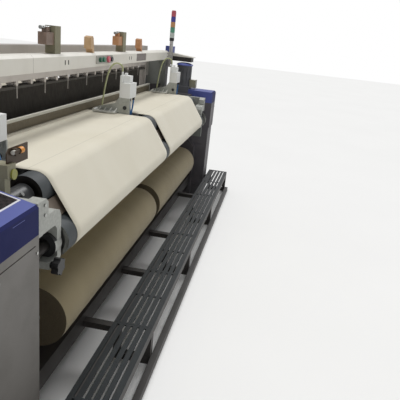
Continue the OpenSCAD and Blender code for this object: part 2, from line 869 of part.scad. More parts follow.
module cloth() {
  color("#E4DECB") for (e = cloth_ends)
    along_x(e[0], e[1] - e[0]) polygon(sheet_outline(cloth_path, cloth_t));
}

module cloth_roll_shaft() {
  color("#6A6A6A") rod_x(-shaft_end, 2 * shaft_end, roll_y, roll_z, shaft_r);
}

module cloth_rolls() {
  for (e = cloth_ends) {
    color("#8C7E5A") difference() {
      rod_x(e[0], e[1] - e[0], roll_y, roll_z, roll_r);
      rod_x(e[0] - 1, e[1] - e[0] + 2, roll_y, roll_z, shaft_r);
      for (x = e) rod_x(x - 4, 8, roll_y, roll_z, 60);
    }
  }
}

// Sley, reed and nozzles

sword_x = [-1300, -780, -260, 260, 780, 1300];

module sley() {
  color("#6E7072") {
    rod_x(-frame_in + 8, 2 * frame_in - 16, reed_y, rock_z, rock_r);
    for (s = [-1, 1])
      rod_x(min(s * (frame_in - 10), s * shaft_end), shaft_end - frame_in + 10, reed_y, rock_z, 30);
    for (x = sword_x) along_x(x - 12, 24) {
      polygon([
        [reed_y - 45, rock_z], [reed_y - 30, sley_top - 50], [reed_y + 24, sley_top - 50],
        [reed_y + 45, rock_z],
      ]);
      translate([reed_y, rock_z]) circle(56);
    }
  }
  color("#A9ABA8") along_x(-sley_x, 2 * sley_x) difference() {
    polygon([
      [reed_y - 45, sley_top - 50], [reed_y - 45, sley_top - 8], [reed_y - 37, sley_top],
      [reed_y + 22, sley_top], [reed_y + 26, sley_top - 50],
    ]);
    translate([reed_y - reed_d / 2, reed_z]) square([reed_d, 30]);
  }
}

module reed() {
  cap = 14;
  sole = 20;
  color("#8F8A7C") difference() {
    block([-reed_x, reed_y - reed_d / 2, reed_z], [reed_x, reed_y + reed_d / 2, reed_z + reed_h]);
    for (i = [0:reed_gaps - 1]) {
      x = dent_x0 + i * dent_pitch + dent_t / 2;
      block(
        [x, reed_y - reed_d, reed_z + sole],
        [x + dent_pitch - dent_t, reed_y + reed_d, reed_z + reed_h - cap]);
    }
    // The air tunnel in the front edges of the dents
    along_x(-reed_x + 20, reed_l - 40) polygon([
      [reed_y - reed_d, shed_z - 5], [reed_y - reed_d / 2 + 5, shed_z - 4],
      [reed_y - reed_d / 2 + 5, shed_z + 5], [reed_y - reed_d, shed_z + 7],
    ]);
  }
}

relay_n = 16;

// Main nozzle at the left end of the sley, and the relay nozzles along the reed
module nozzles() {
  step = (cloth_w - 100) / relay_n;
  x1 = 56 - nozzle_out - cloth_x;
  color("#B8BABB") for (i = [0:relay_n - 1]) {
    x = -cloth_x + 60 + (i + 0.5) * step;
    block([x - 8, reed_y - 36, sley_top], [x + 8, reed_y - reed_d / 2 - 2, sley_top + 12]);
    translate([x, reed_y - 20, sley_top + 12]) cylinder(r = 2.5, h = 22, $fn = 16);
  }
  color("#C2C4C6") {
    rod_x(x1 - 52, 52, reed_y - reed_d / 2 - 12, shed_z + 2, 6);
    block([x1 - 44, reed_y - reed_d / 2 - 30, sley_top], [x1 - 14, reed_y - reed_d / 2 - 2, shed_z + 12]);
  }
}

module weft_cutter() {
  x1 = -cloth_x - 24;
  color("#9B9DA0") {
    block([x1 - 24, -440, shed_z - 26], [x1, fell_y - 30, shed_z - 6]);
    along_x(x1 - 6, 6) polygon([
      [fell_y - 60, shed_z - 6], [fell_y - 20, shed_z - 6], [fell_y - 14, shed_z + 6],
      [fell_y - 60, shed_z + 22],
    ]);
    block([x1 - 24, -470, beam_top], [x1, -440, shed_z - 6]);
  }
}

// Heald frames with their healds

hook_pitch = 142;
hook_in = 144;
hook_x0 = hook_in - heald_x;
hook_n = floor((2 * heald_x - hook_in - 60) / hook_pitch);
hook_h = 22;
hook_r = 12;
frame_z0 = shed_z - heald_l / 2 - stave_h;
frame_z1 = shed_z + heald_l / 2 + stave_h + 20;

function frame_y(k) = heald_y + k * heald_pitch;

module heald_frame(k) {
  y = frame_y(k);
  stave_z = shed_z + heald_l / 2 + 20;
  strut = 30;
  color("#C9C2BD") {
    along_y(y, heald_t) {
      difference() {
        translate([-heald_x, frame_z0]) square([2 * heald_x, frame_z1 - frame_z0]);
        translate([-heald_x + strut, frame_z0 + stave_h])
          square([2 * (heald_x - strut), stave_z - frame_z0 - stave_h]);
      }
      // Round hooks that hold the heald rod
      for (i = [0:hook_n - 1]) translate([hook_x0 + i * hook_pitch, stave_z - hook_h]) {
        translate([0, hook_r]) circle(hook_r);
        translate([-6, 0]) square([12, hook_h + 2]);
      }
    }
    // Thin hangers from every second hook, in front of the healds
    for (i = [1:2:hook_n - 1]) translate([hook_x0 + i * hook_pitch, y, stave_z - hook_h])
      block([-2, 0, -58], [2, 2.5, 2]);
    // Lift rods to the heald motion under the frame
    for (x = [-900, 900]) block([x - 12, y + 1, frame_z0 - 150], [x + 12, y + heald_t - 1, frame_z0]);
  }
}

// Healds of one frame hang in every fourth gap of the reed, on two flat rods
module heald_set(k) {
  y = frame_y(k) + heald_t / 2;
  z0 = shed_z - heald_l / 2;
  z1 = shed_z + heald_l / 2;
  first = ceil((-cloth_x - dent_x0) / dent_pitch) + k;
  last = floor((cloth_x - dent_x0) / dent_pitch);
  rod_end = heald_x - 30;
  color("#33312F") along_y(y - 1.5, 3) {
    translate([-rod_end, z1 - 14]) square([2 * rod_end, 12]);
    translate([-rod_end, z0 + 2]) square([2 * rod_end, 12]);
    for (i = [first:heald_n:last])
      translate([dent_x0 + i * dent_pitch - 1.5, z0 + 3]) square([3, z1 - z0 - 6]);
  }
}

module heald_frame_1() {
  heald_frame(0);
}

module heald_frame_2() {
  heald_frame(1);
}

module heald_frame_3() {
  heald_frame(2);
}

module heald_frame_4() {
  heald_frame(3);
}

module healds_1() {
  heald_set(0);
}

module healds_2() {
  heald_set(1);
}

module healds_3() {
  heald_set(2);
}

module healds_4() {
  heald_set(3);
}

// Warp from the beam over the back rest to the fell

warp_off = gap_c + cloth_t / 2;
backrest_c = [backrest_y, backrest_z];
beam_c = [beam_y, beam_z];
warp_a = touch(backrest_c, backrest_r + warp_off, beam_c, yarn_r + warp_off, 1);
warp_path = concat(
  [[[fell_y + gap_c, shed_z], [0, 1]]],
  sweep_arc(backrest_c, backrest_r + warp_off, 90, warp_a, 12, 1),
  [[beam_c + (yarn_r + warp_off) * dirv(warp_a), dirv(warp_a)]]);
comb_end = 420;

module warp_sheet() {
  color("#DAD3BF") for (e = cloth_ends) difference() {
    along_x(e[0], e[1] - e[0]) polygon(sheet_outline(warp_path, cloth_t));
    // Slots for the dents of the reed, the healds and the drop wires
    for (i = [1:reed_gaps - 1]) {
      x = dent_x0 + i * dent_pitch;
      half = dent_t / 2 + 2;
      x0 = x - half < e[0] + 4 ? e[0] - 1 : x - half;
      x1 = x + half > e[1] - 4 ? e[1] + 1 : x + half;
      if (x + half > e[0] && x - half < e[1])
        block([x0, fell_y - 1, shed_z - 5], [x1, comb_end, shed_z + 5]);
    }
  }
}

stop_y = [260, 300, 340, 380];
stop_end = frame_in - 20;

// Warp stop motion: rows of drop wires on their contact bars
module stop_motion() {
  color("#8B8D8E") {
    for (k = [0:3]) along_y(stop_y[k], 3) {
      translate([-stop_end, shed_z + 26]) square([2 * stop_end, 16]);
      for (i = [ceil((-cloth_x - dent_x0) / dent_pitch) + k:4:floor((cloth_x - dent_x0) / dent_pitch)])
        translate([dent_x0 + i * dent_pitch - 1.5, shed_z - 110]) square([3, 140]);
    }
    for (x = [-frame_in, stop_end])
      block([x, stop_y[0] - 16, 860], [x + frame_in - stop_end, stop_y[3] + 19, shed_z + 52]);
  }
}

module backrest_roller() {
  color("#7E8183") {
    rod_x(-roller_x, 2 * roller_x, backrest_y, backrest_z, backrest_r);
    rod_x(-lever_x - lever_t + 4, 2 * (lever_x + lever_t) - 8, backrest_y, backrest_z, 20);
  }
}

module backrest_levers() {
  color("#5F6062") {
    for (s = [-1, 1]) {
      difference() {
        along_x(s > 0 ? lever_x : -lever_x - lever_t, lever_t) {
          d = [backrest_y - pivot_y, backrest_z - pivot_z];
          n = [-d[1], d[0]] / norm(d);
          translate([pivot_y, pivot_z]) circle(44);
          translate([backrest_y, backrest_z]) circle(38);
          polygon([[pivot_y, pivot_z] + 44 * n, [backrest_y, backrest_z] + 38 * n,
            [backrest_y, backrest_z] - 38 * n, [pivot_y, pivot_z] - 44 * n]);
        }
        rod_x(s * (lever_x + lever_t / 2) - lever_t, 2 * lever_t, backrest_y, backrest_z, 20 + run_fit);
      }
      rod_x(min(s * (lever_x + 4), s * shaft_end), shaft_end - lever_x - 4, pivot_y, pivot_z, pivot_r);
    }
    rod_x(-lever_x - 4, 2 * lever_x + 8, pivot_y, pivot_z, 30);
  }
}

module warp_beam() {
  color("#9A9C9B") {
    rod_x(-shaft_end, 2 * shaft_end, beam_y, beam_z, 40);
    for (s = [-1, 1]) difference() {
      rod_x(s > 0 ? flange_x : -flange_x - flange_t, flange_t, beam_y, beam_z, flange_r);
      rod_x(s * flange_x - 30, 60, beam_y, beam_z, 39);
      for (a = [0:45:315])
        rod_x(s * flange_x - 30, 60, beam_y + 340 * cos(a), beam_z + 340 * sin(a), 22);
    }
  }
  color("#77797A") difference() {
    translate([0, beam_y, beam_z]) along_x(beam_gear_x, beam_gear_w)
      gear_2d(beam_module, beam_teeth, let_off_at);
    rod_x(beam_gear_x - 1, beam_gear_w + 2, beam_y, beam_z, 39);
    for (a = [0:60:300])
      rod_x(beam_gear_x - 1, beam_gear_w + 2, beam_y + 112 * cos(a), beam_z + 112 * sin(a), 34);
  }
  color("#77797A") difference() {
    rod_x(flange_x + flange_t, beam_gear_x - flange_x - flange_t, beam_y, beam_z, 70);
    rod_x(flange_x, 60, beam_y, beam_z, 39);
  }
}

module warp_yarn() {
  color("#DDD6C2") difference() {
    rod_x(-flange_x, 2 * flange_x, beam_y, beam_z, yarn_r);
    rod_x(-flange_x - 1, 2 * flange_x + 2, beam_y, beam_z, 40);
  }
}

module let_off_pinion() {
  color("#8D8F90") {
    translate([0, let_off_y, let_off_z]) along_x(beam_gear_x, beam_gear_w)
      gear_2d(beam_module, let_off_teeth, let_off_at + 180 + 180 / let_off_teeth);
    rod_x(beam_gear_x + beam_gear_w, frame_in - 14 - beam_gear_x - beam_gear_w, let_off_y, let_off_z, 22);
  }
}

// Tuck-in units over the cloth edges, each with its bracket and hoses. The left one is mirrored
unit_x = [cloth_x + 6, gap_x - gap_w / 2 + 4, cloth_x + 6];
unit_side = [-1, 1, 1];
unit_y = -512;
unit_z = shed_z + 97;
loop_y = [0, 0, 12, 33, 54, 71, 84, 95, 104, 111, 113];
loop_z = [154.4, 176, 194, 200, 193, 172, 140, 90, 30, -30, -59];
fitting_x = [40, 112];
fitting_h = 18;
drop_x = [[40, 40, 36, 29, 28, 28, 28], [112, 110, 86, 55, 50, 50, 50]];
drop_y = [10, 10, 6, 2, 4, 9, 13];
drop_z = [-fitting_h - 0.4, -38, -66, -94, -140, -180, beam_top - unit_z + 0.4];

module each_unit() {
  for (i = [0:len(unit_x) - 1])
    if (unit_side[i] > 0) translate([unit_x[i], 0, 0]) children();
    else mirror([1, 0, 0]) translate([unit_x[i], 0, 0]) children();
}

module tuck_in_units() {
  color("#D9DAD8") each_unit() {
    block([0, unit_y, unit_z], [130, unit_y + 54, unit_z + 89]);
    block([6, unit_y + 54, unit_z], [106, unit_y + 68, unit_z + 132]);
    block([24, unit_y + 12, unit_z + 89], [84, unit_y + 54, unit_z + 132]);
    translate([30, unit_y + 62, unit_z + 132]) cylinder(r = 6, h = 22);
    block([38, unit_y + 40, unit_z + 132], [70, unit_y + 52, unit_z + 146]);
  }
  // Push-in fittings for the air hoses
  color("#232224") each_unit() for (x = fitting_x)
    translate([x, unit_y + 10, unit_z - fitting_h]) cylinder(r = 8, h = fitting_h);
}

// Side plate with the ribbed arm that reaches to the temple at the fell
module temple_brackets() {
  t = 8;
  color("#B5B7B2") each_unit() {
    difference() {
      along_x(0, t) polygon([
        [unit_y - 2, beam_top + 12], [unit_y - 2, unit_z], [unit_y + 68, unit_z],
        [-420, shed_z + 60], [-330, shed_z + 34], [-298, shed_z + 24], [-296, shed_z + 4],
        [-450, shed_z + 4], [-450, beam_top + 12],
      ]);
      rod_x(-1, t + 2, -484, shed_z + 38, 9);
    }
    block([-3, -530, beam_top], [t + 3, -450, beam_top + 12]);
    difference() {
      block([-60, -440, shed_z + 5], [0, -300, shed_z + 12]);
      block([-40, -420, shed_z + 4], [-20, -330, shed_z + 13]);
    }
    for (y = [-436, -402, -368, -334]) along_y(y, 5) polygon([
      [0, shed_z + 12], [0, shed_z + 30], [-52, shed_z + 12],
    ]);
    rod_x(-62, 62, -306, shed_z + 13, 9);
  }
}

// A hose with a round section swept along its points
function hose_ring(p, d, r, n) = let (
    u = d / norm(d),
    a = abs(u[0]) < 0.9 ? [1, 0, 0] : [0, 1, 0],
    v = cross(u, a) / norm(cross(u, a)),
    w = cross(u, v)
  ) [for (i = [0:n - 1]) p + r * (v * cos(i * 360 / n) + w * sin(i * 360 / n))];
module hose(pts, r) {
  n = 8;
  m = len(pts);
  rings = [for (i = [0:m - 1]) each hose_ring(pts[i], pts[min(i + 1, m - 1)] - pts[max(i - 1, 0)], r, n)];
  sides = [for (i = [0:m - 2], j = [0:n - 1]) let (k = (j + 1) % n)
    [i * n + j, i * n + k, (i + 1) * n + k, (i + 1) * n + j]];
  polyhedron(rings, concat([[for (j = [n - 1:-1:0]) j]], sides, [[for (j = [0:n - 1]) (m - 1) * n + j]]));
}

// Two air hoses drop from each unit, and a third loops back to its bracket
module hoses() {
  each_unit() {
    color("#1F5C9A") for (x = drop_x)
      hose([for (i = [0:len(drop_y) - 1]) [x[i], unit_y + drop_y[i], unit_z + drop_z[i]]], 5);
    color("#B9BE8A") hose([for (i = [0:len(loop_y) - 1])
      [30 - 26 * i / (len(loop_y) - 1), unit_y + 62 + loop_y[i], unit_z + loop_z[i]]], 5);
  }
}

// Edge sensor on its housing, on a post over the left roller bracket
module edge_sensor() {
  x0 = -frame_in;
  y0 = breast_y - 40;
  plate_y = y0 + 10;
  sensor_z = shed_z + 113;
  color("#8C8870") {
    block([x0, plate_y, 976], [x0 + 30, plate_y + 40, shed_z + 39]);
    block([x0, y0, shed_z + 39], [x0 + 46, y0 + 90, shed_z + 80]);
    // Thin plate that carries the sensor
    along_y(plate_y, 4) polygon([
      [x0 + 15, shed_z + 70], [x0 + 15, shed_z + 112], [x0 + 28, shed_z + 125],
      [x0 + 138, shed_z + 125], [x0 + 138, shed_z + 70],
    ]);
  }
  color("#C9C6BC") {
    rod_x(x0 + 31, 34, y0, sensor_z, 7);
    block([x0 + 42, y0 - 4, sensor_z - 12], [x0 + 58, plate_y, sensor_z + 10]);
  }
  color("#D98A2B") rod_x(x0 + 65, 20, y0, sensor_z, 10);
  color("#8A8B3F") translate([x0 + 30, y0 - 6, shed_z + 47]) rotate([-90, 0, 0]) cylinder(r = 16, h = 6);
}

// Signal lamps

pole_x = frame_out + 16;
pole_y = top_y - 10;
lamp_h = 46;
lamp_n = 5;
lamp_r = 21;
lamps_z = tower_top - 6 - lamp_n * lamp_h;

module signal_pole() {
  color("#C8C6C4") {
    difference() {
      block([top_end, pole_y - 34, top_z - 66], [top_end + 6, top_y, top_z + top_h - 8]);
      for (z = [-48, -6, 44]) rod_x(top_end - 1, 8, pole_y - 20, top_z + z, 5);
    }
    block([top_end, top_y, top_z], [top_end + 6, top_y + 40, top_z + top_h - 8]);
    block([top_end + 6, pole_y - 12, top_z - 20], [pole_x, top_y, top_z - 6]);
    translate([pole_x, pole_y, top_z - 34]) cylinder(r = 16, h = lamps_z - 26 - top_z + 34);
  }
  color("#1E1D1E") translate([pole_x, pole_y, lamps_z - 26]) cylinder(r = lamp_r, h = 26 - gap_c);
}

lamp_colors = ["#C9D2CC", "#5FA287", "#CF9A6A", "#4A48A0", "#C8606E"];

module signal_lamps() {
  for (i = [0:lamp_n - 1]) color(lamp_colors[i]) translate([pole_x, pole_y, lamps_z + i * lamp_h]) {
    cylinder(r = lamp_r, h = lamp_h - 2);
    if (i == lamp_n - 1) translate([0, 0, lamp_h - 2]) cylinder(r = lamp_r - 4, h = 8);
    else translate([0, 0, lamp_h - 2]) cylinder(r = lamp_r - 3, h = 2);
  }
}

left_side_frame();
right_side_frame();
cross_beams();
levelling_feet();
top_beam();
frame_guides();
button_panel();
start_button();
jog_button();
stop_button();
reset_button();
left_cabinet();
consoles();
electric_cabinet();
cabinet_door();
right_cabinet();
right_shelf();
main_motor();
fan_motor();
motor_pulley();
drive_belt();
main_shaft();
footboard_deck();
footboard_frame();
breast_roller();
take_up_roller();
take_up_pinion();
gearboxes();
press_roller();
guard_plate();
roller_brackets();
clamp_handle();
cloth();
cloth_roll_shaft();
cloth_rolls();
sley();
reed();
nozzles();
weft_cutter();
heald_frame_1();
heald_frame_2();
heald_frame_3();
heald_frame_4();
healds_1();
healds_2();
healds_3();
healds_4();
warp_sheet();
stop_motion();
backrest_roller();
backrest_levers();
warp_beam();
warp_yarn();
let_off_pinion();
tuck_in_units();
temple_brackets();
hoses();
edge_sensor();
signal_pole();
signal_lamps();
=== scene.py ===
import math

import bmesh
import bpy
from mathutils import Matrix, Vector


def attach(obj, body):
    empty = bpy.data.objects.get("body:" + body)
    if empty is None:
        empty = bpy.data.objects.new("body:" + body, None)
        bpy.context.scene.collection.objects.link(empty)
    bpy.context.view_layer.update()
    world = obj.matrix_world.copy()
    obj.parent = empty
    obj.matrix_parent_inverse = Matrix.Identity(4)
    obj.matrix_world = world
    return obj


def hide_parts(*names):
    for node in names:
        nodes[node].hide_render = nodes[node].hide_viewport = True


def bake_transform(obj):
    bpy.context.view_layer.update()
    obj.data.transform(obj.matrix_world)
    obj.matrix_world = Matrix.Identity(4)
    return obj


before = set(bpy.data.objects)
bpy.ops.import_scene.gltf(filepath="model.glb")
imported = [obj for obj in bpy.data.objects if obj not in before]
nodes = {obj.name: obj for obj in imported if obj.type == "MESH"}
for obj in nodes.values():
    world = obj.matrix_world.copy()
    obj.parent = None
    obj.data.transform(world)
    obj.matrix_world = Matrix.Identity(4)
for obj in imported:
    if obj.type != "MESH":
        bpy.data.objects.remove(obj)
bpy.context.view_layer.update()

# Camera. It stands at head height off the loom's left front end, as the photographer did.
# It looks along the cloth to the right end, a little down, with the horizon tilted.
def place_object(name, data):
    """Makes an object of the data and puts it in the scene."""
    made = bpy.data.objects.new(name, data)
    bpy.context.scene.collection.objects.link(made)
    return made


camera_heading = math.radians(82.28)
camera_pitch = math.radians(-18.6)
camera_roll = math.radians(6.3)
camera_data = bpy.data.cameras.new("camera")
camera_data.sensor_width = 36
camera_data.lens = 43.2
camera_data.clip_end = 60
camera = place_object("camera", camera_data)
look = Vector((
    math.sin(camera_heading) * math.cos(camera_pitch),
    math.cos(camera_heading) * math.cos(camera_pitch),
    math.sin(camera_pitch),
))
level_right = look.cross(Vector((0, 0, 1))).normalized()
level_up = level_right.cross(look)
right = level_right * math.cos(camera_roll) + level_up * math.sin(camera_roll)
up = right.cross(look)
camera.matrix_world = Matrix((right, up, -look)).transposed().to_4x4()
camera.location = (-2.850, -1.400, 1.495)
bpy.context.scene.camera = camera
bpy.context.scene.view_settings.view_transform = "Standard"


# Air hoses. Polyurethane tube of 10 mm, extruded, pushed into black fittings under each tuck-in unit.
# Two blue ones drop through the gap beside the cloth, and a yellow-green one loops over to the bracket.
def hex_colour(text):
    """Turns an sRGB hex colour to linear values."""
    parts = [int(text[i:i + 2], 16) / 255 for i in (1, 3, 5)]
    return [p / 12.92 if p <= 0.04045 else ((p + 0.055) / 1.055) ** 2.4 for p in parts] + [1.0]


def fill(node, values):
    """Fills a node's inputs. A socket is linked to the input, and any other value is set on it."""
    for key, value in values.items():
        if isinstance(value, bpy.types.NodeSocket):
            node.id_data.links.new(value, node.inputs[key])
        else:
            node.inputs[key].default_value = value


def add(tree, kind, values=None, **settings):
    """Adds a node with its settings, and fills its inputs."""
    node = tree.nodes.new(kind)
    for key, value in settings.items():
        setattr(node, key, value)
    fill(node, values or {})
    return node


def calculate(tree, operation, *values):
    """The result of a math node."""
    return add(tree, "ShaderNodeMath", dict(enumerate(values)), operation=operation).outputs[0]


def own_place(tree):
    """The object's own coordinates, in metres of the shared frame."""
    return add(tree, "ShaderNodeTexCoord").outputs["Object"]


def new_material(name):
    """Returns a material, its node tree and its shader."""
    material = bpy.data.materials.new(name)
    material.use_nodes = True
    return material, material.node_tree, material.node_tree.nodes["Principled BSDF"]


def shade_between(tree, shader, dark, light, factor):
    """Colours the shader between two hex colours by a factor."""
    ends = {"Factor": factor, "A": hex_colour(dark), "B": hex_colour(light)}
    mix = add(tree, "ShaderNodeMix", ends, data_type="RGBA")
    fill(shader, {"Base Color": mix.outputs["Result"]})


def rough_between(tree, shader, low, high, factor):
    """Lets the shader's roughness run between two values by a factor."""
    span = add(tree, "ShaderNodeMapRange", {"Value": factor, "To Min": low, "To Max": high})
    fill(shader, {"Roughness": span.outputs["Result"]})


def raise_by(tree, shader, height, strength, distance):
    """Adds a bump from a height."""
    bump = add(tree, "ShaderNodeBump", {"Height": height, "Strength": strength, "Distance": distance})
    fill(shader, {"Normal": bump.outputs["Normal"]})


def noise_of(tree, size, detail=3.0, squeeze=(1, 1, 1)):
    """A noise with blotches size mm wide, made finer along an axis by squeeze."""
    place = add(tree, "ShaderNodeMapping", {"Vector": own_place(tree), "Scale": squeeze}).outputs["Vector"]
    noise = add(tree, "ShaderNodeTexNoise", {"Vector": place, "Scale": 1000 / size, "Detail": detail})
    return noise.outputs["Fac"]


def tube_plastic(name, dark, light):
    """Polyurethane tube. It gives the eye a waxy gloss that dulls where hands and lint have touched it."""
    material, tree, shader = new_material(name)
    wave = noise_of(tree, 70)
    shade_between(tree, shader, dark, light, wave)
    rough_between(tree, shader, 0.22, 0.4, wave)
    fill(shader, {"Coat Weight": 0.3})
    raise_by(tree, shader, noise_of(tree, 4, 2), 0.12, 0.0004)
    return material


def smooth_path(points, steps=4):
    """A Catmull-Rom curve through the points."""
    pts = [points[0]] + list(points) + [points[-1]]
    out = []
    for a, b, c, d in zip(pts, pts[1:], pts[2:], pts[3:]):
        for i in range(steps):
            t = i / steps
            bend, twist = 2 * a - 5 * b + 4 * c - d, 3 * b - a - 3 * c + d
            out.append(0.5 * (2 * b + (c - a) * t + bend * t ** 2 + twist * t ** 3))
    return out + [pts[-1]]


# Every tuck-in unit: the x of its side plate's inner face, and the way to its housing
unit_places = [(-1.356, -1), (0.0165, 1), (1.356, 1)]
unit_y, unit_z = -0.512, 1.097
hose_r = 0.005
hose_blue = tube_plastic("polyurethane_tube_blue", "#1C62A6", "#3A8BD0")
hose_green = tube_plastic("polyurethane_tube_yellow_green", "#A9AF7C", "#C9CEA0")
# Routes in mm from a unit's lower corner, with x away from its side plate
drop_y = [10, 10, 6, 2, 4, 9, 13]
drop_z = [-18.4, -38, -66, -94, -140, -180, -216.6]
loop_x = [30 - 2.6 * i for i in range(11)]
loop_y = [62, 62, 74, 95, 116, 133, 146, 157, 166, 173, 175]
loop_z = [154.4, 176, 194, 200, 193, 172, 140, 90, 30, -30, -59]
hoses = [
    ("blue_hose_{}_0", hose_blue, [40, 40, 36, 29, 28, 28, 28], drop_y, drop_z),
    ("blue_hose_{}_1", hose_blue, [112, 110, 86, 55, 50, 50, 50], drop_y, drop_z),
    ("green_hose_{}", hose_green, loop_x, loop_y, loop_z),
]


def lay_hose(name, points, material):
    """A hose as one open curve with its real length and thickness."""
    points = smooth_path([Vector(p) for p in points])
    curve = bpy.data.curves.new(name, "CURVE")
    curve.dimensions = "3D"
    curve.bevel_depth = hose_r
    curve.bevel_resolution = 3
    curve.use_fill_caps = True
    spline = curve.splines.new("POLY")
    spline.points.add(len(points) - 1)
    for place, p in zip(spline.points, points):
        place.co = (*p, 1)
    curve.materials.append(material)
    hose = place_object(name, curve)
    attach(hose, "loom")
    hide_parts("hoses")
    length = sum((b - a).length for a, b in zip(points, points[1:]))
    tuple(points[0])


for number, (unit_x, side) in enumerate(unit_places):
    for name, material, *route in hoses:
        lay_hose(name.format(number), [
            (unit_x + side * x / 1000, unit_y + y / 1000, unit_z + z / 1000) for x, y, z in zip(*route)
        ], material)


# Studio. A plain pale floor, a white world and two soft lamps. One stands above the loom on its warp side
# and one shines along the cloth from the far end, so the cloth's top is bright and its front in soft shade.
floor_material, tree, shader = new_material("pale_floor")
shade_between(tree, shader, "#F3F3F2", "#F8F8F7", noise_of(tree, 1250))
fill(shader, {"Roughness": 0.9, "Specular IOR Level": 0.1})
floor_mesh = bpy.data.meshes.new("studio_floor")
far = 30
floor_mesh.from_pydata([(-far, -far, 0), (far, -far, 0), (far, far, 0), (-far, far, 0)], [], [(0, 1, 2, 3)])
floor_mesh.materials.append(floor_material)
floor = place_object("studio_floor", floor_mesh)

world = bpy.data.worlds.new("studio_world")
bpy.context.scene.world = world
world.use_nodes = True
tree = world.node_tree
tree.nodes.clear()
ray = add(tree, "ShaderNodeLightPath").outputs
seen = calculate(tree, "MAXIMUM", ray["Is Camera Ray"], ray["Is Transmission Ray"])
strength = add(tree, "ShaderNodeMapRange", {"Value": seen, "To Min": 0.3, "To Max": 1.0})
sky = add(tree, "ShaderNodeBackground", {"Color": (1, 1, 1, 1), "Strength": strength.outputs["Result"]})
add(tree, "ShaderNodeOutputWorld", {"Surface": sky.outputs[0]})


def soft_lamp(name, power, angle, turn):
    """A sun lamp with a wide soft disc."""
    data = bpy.data.lights.new(name, "SUN")
    data.energy = power
    data.angle = math.radians(angle)
    place_object(name, data).rotation_euler = [math.radians(a) for a in turn]


soft_lamp("hall_lamps", 1.5, 15, (-8, -8, 0))
soft_lamp("far_end_lamp", 1.05, 20, (7, 50, 0))


# Painted castings and sheet metal. Two-coat machine enamel, sprayed and baked, on iron and steel plate.
# The frames are sand castings, the cabinets folded sheet, and greasy lint has settled on all of them.
def machine_enamel(name, colour, soiled, soil=0.5, shine=(0.42, 0.6)):
    """Machine enamel. It gives the eye a fine orange peel and greasy blotches, as dense as soil says."""
    material, tree, shader = new_material(name)
    blotch = noise_of(tree, 110, 8)
    dense = {"Value": blotch, "From Min": 0.45, "From Max": 0.8, "To Max": soil}
    mask = add(tree, "ShaderNodeMapRange", dense)
    shade_between(tree, shader, colour, soiled, mask.outputs["Result"])
    rough_between(tree, shader, shine[0], shine[1], blotch)
    fill(shader, {"Specular IOR Level": 0.35})
    raise_by(tree, shader, noise_of(tree, 3, 2), 0.15, 0.0006)
    return material


def box_mask(tree, *spans):
    """Is 1 where the object's own x, y and z lie in the spans, and 0 elsewhere. A span of None is open."""
    mask = 1.0
    for axis, span in zip(add(tree, "ShaderNodeSeparateXYZ", {"Vector": own_place(tree)}).outputs, spans):
        if span:
            low, high = span
            near = calculate(tree, "COMPARE", axis, (low + high) / 2, (high - low) / 2)
            mask = calculate(tree, "MULTIPLY", near, mask)
    return mask


def paint_over(tree, shader, mask, colour):
    """Puts another hex colour on the shader where the mask is 1."""
    under = shader.inputs["Base Color"].links[0].from_socket
    mix = add(tree, "ShaderNodeMix", {"Factor": mask, "A": under, "B": hex_colour(colour)}, data_type="RGBA")
    fill(shader, {"Base Color": mix.outputs["Result"]})


def tree_of(material):
    """The node tree and the shader of a material that exists."""
    return material.node_tree, material.node_tree.nodes["Principled BSDF"]


def dress(name, *materials, rule=None):
    """Gives a CAD node its materials. A rule returns the number of one by a face's middle and its normal."""
    mesh = nodes[name].data
    mesh.materials.clear()
    for material in materials:
        mesh.materials.append(material)
    for face in mesh.polygons:
        face.material_index = rule(face.center, face.normal) if rule else 0


frame_grey = machine_enamel("enamel_dark_grey", "#565356", "#38353A")
beam_black = machine_enamel("enamel_brown_black", "#3B3836", "#2A2622")
cream_enamel = machine_enamel("enamel_cream", "#E3E0D6", "#CDC8BC", 0.3)
cabinet_grey = machine_enamel("enamel_light_grey", "#7F7C78", "#63605B", 0.5)
cabinet_dark = machine_enamel("enamel_violet_grey", "#605D61", "#48454A", 0.5)
box_green = machine_enamel("enamel_grey_green", "#7F837F", "#5E625C")
planed_alloy = machine_enamel("planed_guide_alloy", "#B4B2AD", "#8B8882", 0.5)
# The cabinets are painted darker towards their feet, as painted shade
tree, shader = tree_of(cabinet_grey)
height = add(tree, "ShaderNodeSeparateXYZ", {"Vector": own_place(tree)}).outputs["Z"]
shade_to_feet = add(tree, "ShaderNodeMapRange", {
    "Value": height, "From Min": 0.95, "From Max": 0.2, "To Min": 0.0, "To Max": 0.9,
})
paint_over(tree, shader, shade_to_feet.outputs["Result"], "#48443E")
# A lighter copy of the dark grey enamel, painted light on the inner faces of the posts
painted_light_grey = machine_enamel("enamel_grey_painted_light", "#8A8D8A", "#686A66", 0.6)


def inside(value, span):
    """Is the value between the two ends of the span?"""
    return span[0] < value < span[1]


heald_guide_x, heald_guide_y = 1.5895, (-0.19, -0.109)


def frame_rule(place, normal):
    """Planed heald guides, and the inner faces of the posts that carry the beam, drawn lighter as painted
    light.
    """
    if abs(place.x) < heald_guide_x and inside(place.y, heald_guide_y):
        return 1
    return 2 if normal.x * place.x < -0.8 and place.z > 1.0 else 0


for name in ("left_side_frame", "right_side_frame"):
    dress(name, frame_grey, planed_alloy, painted_light_grey, rule=frame_rule)
for name in ("backrest_levers", "levelling_feet"):
    dress(name, frame_grey)
dress("cross_beams", beam_black)
dress("gearboxes", box_green)
for name in ("electric_cabinet", "cabinet_door", "left_cabinet"):
    dress(name, cabinet_grey)
dress("right_cabinet", cabinet_dark)


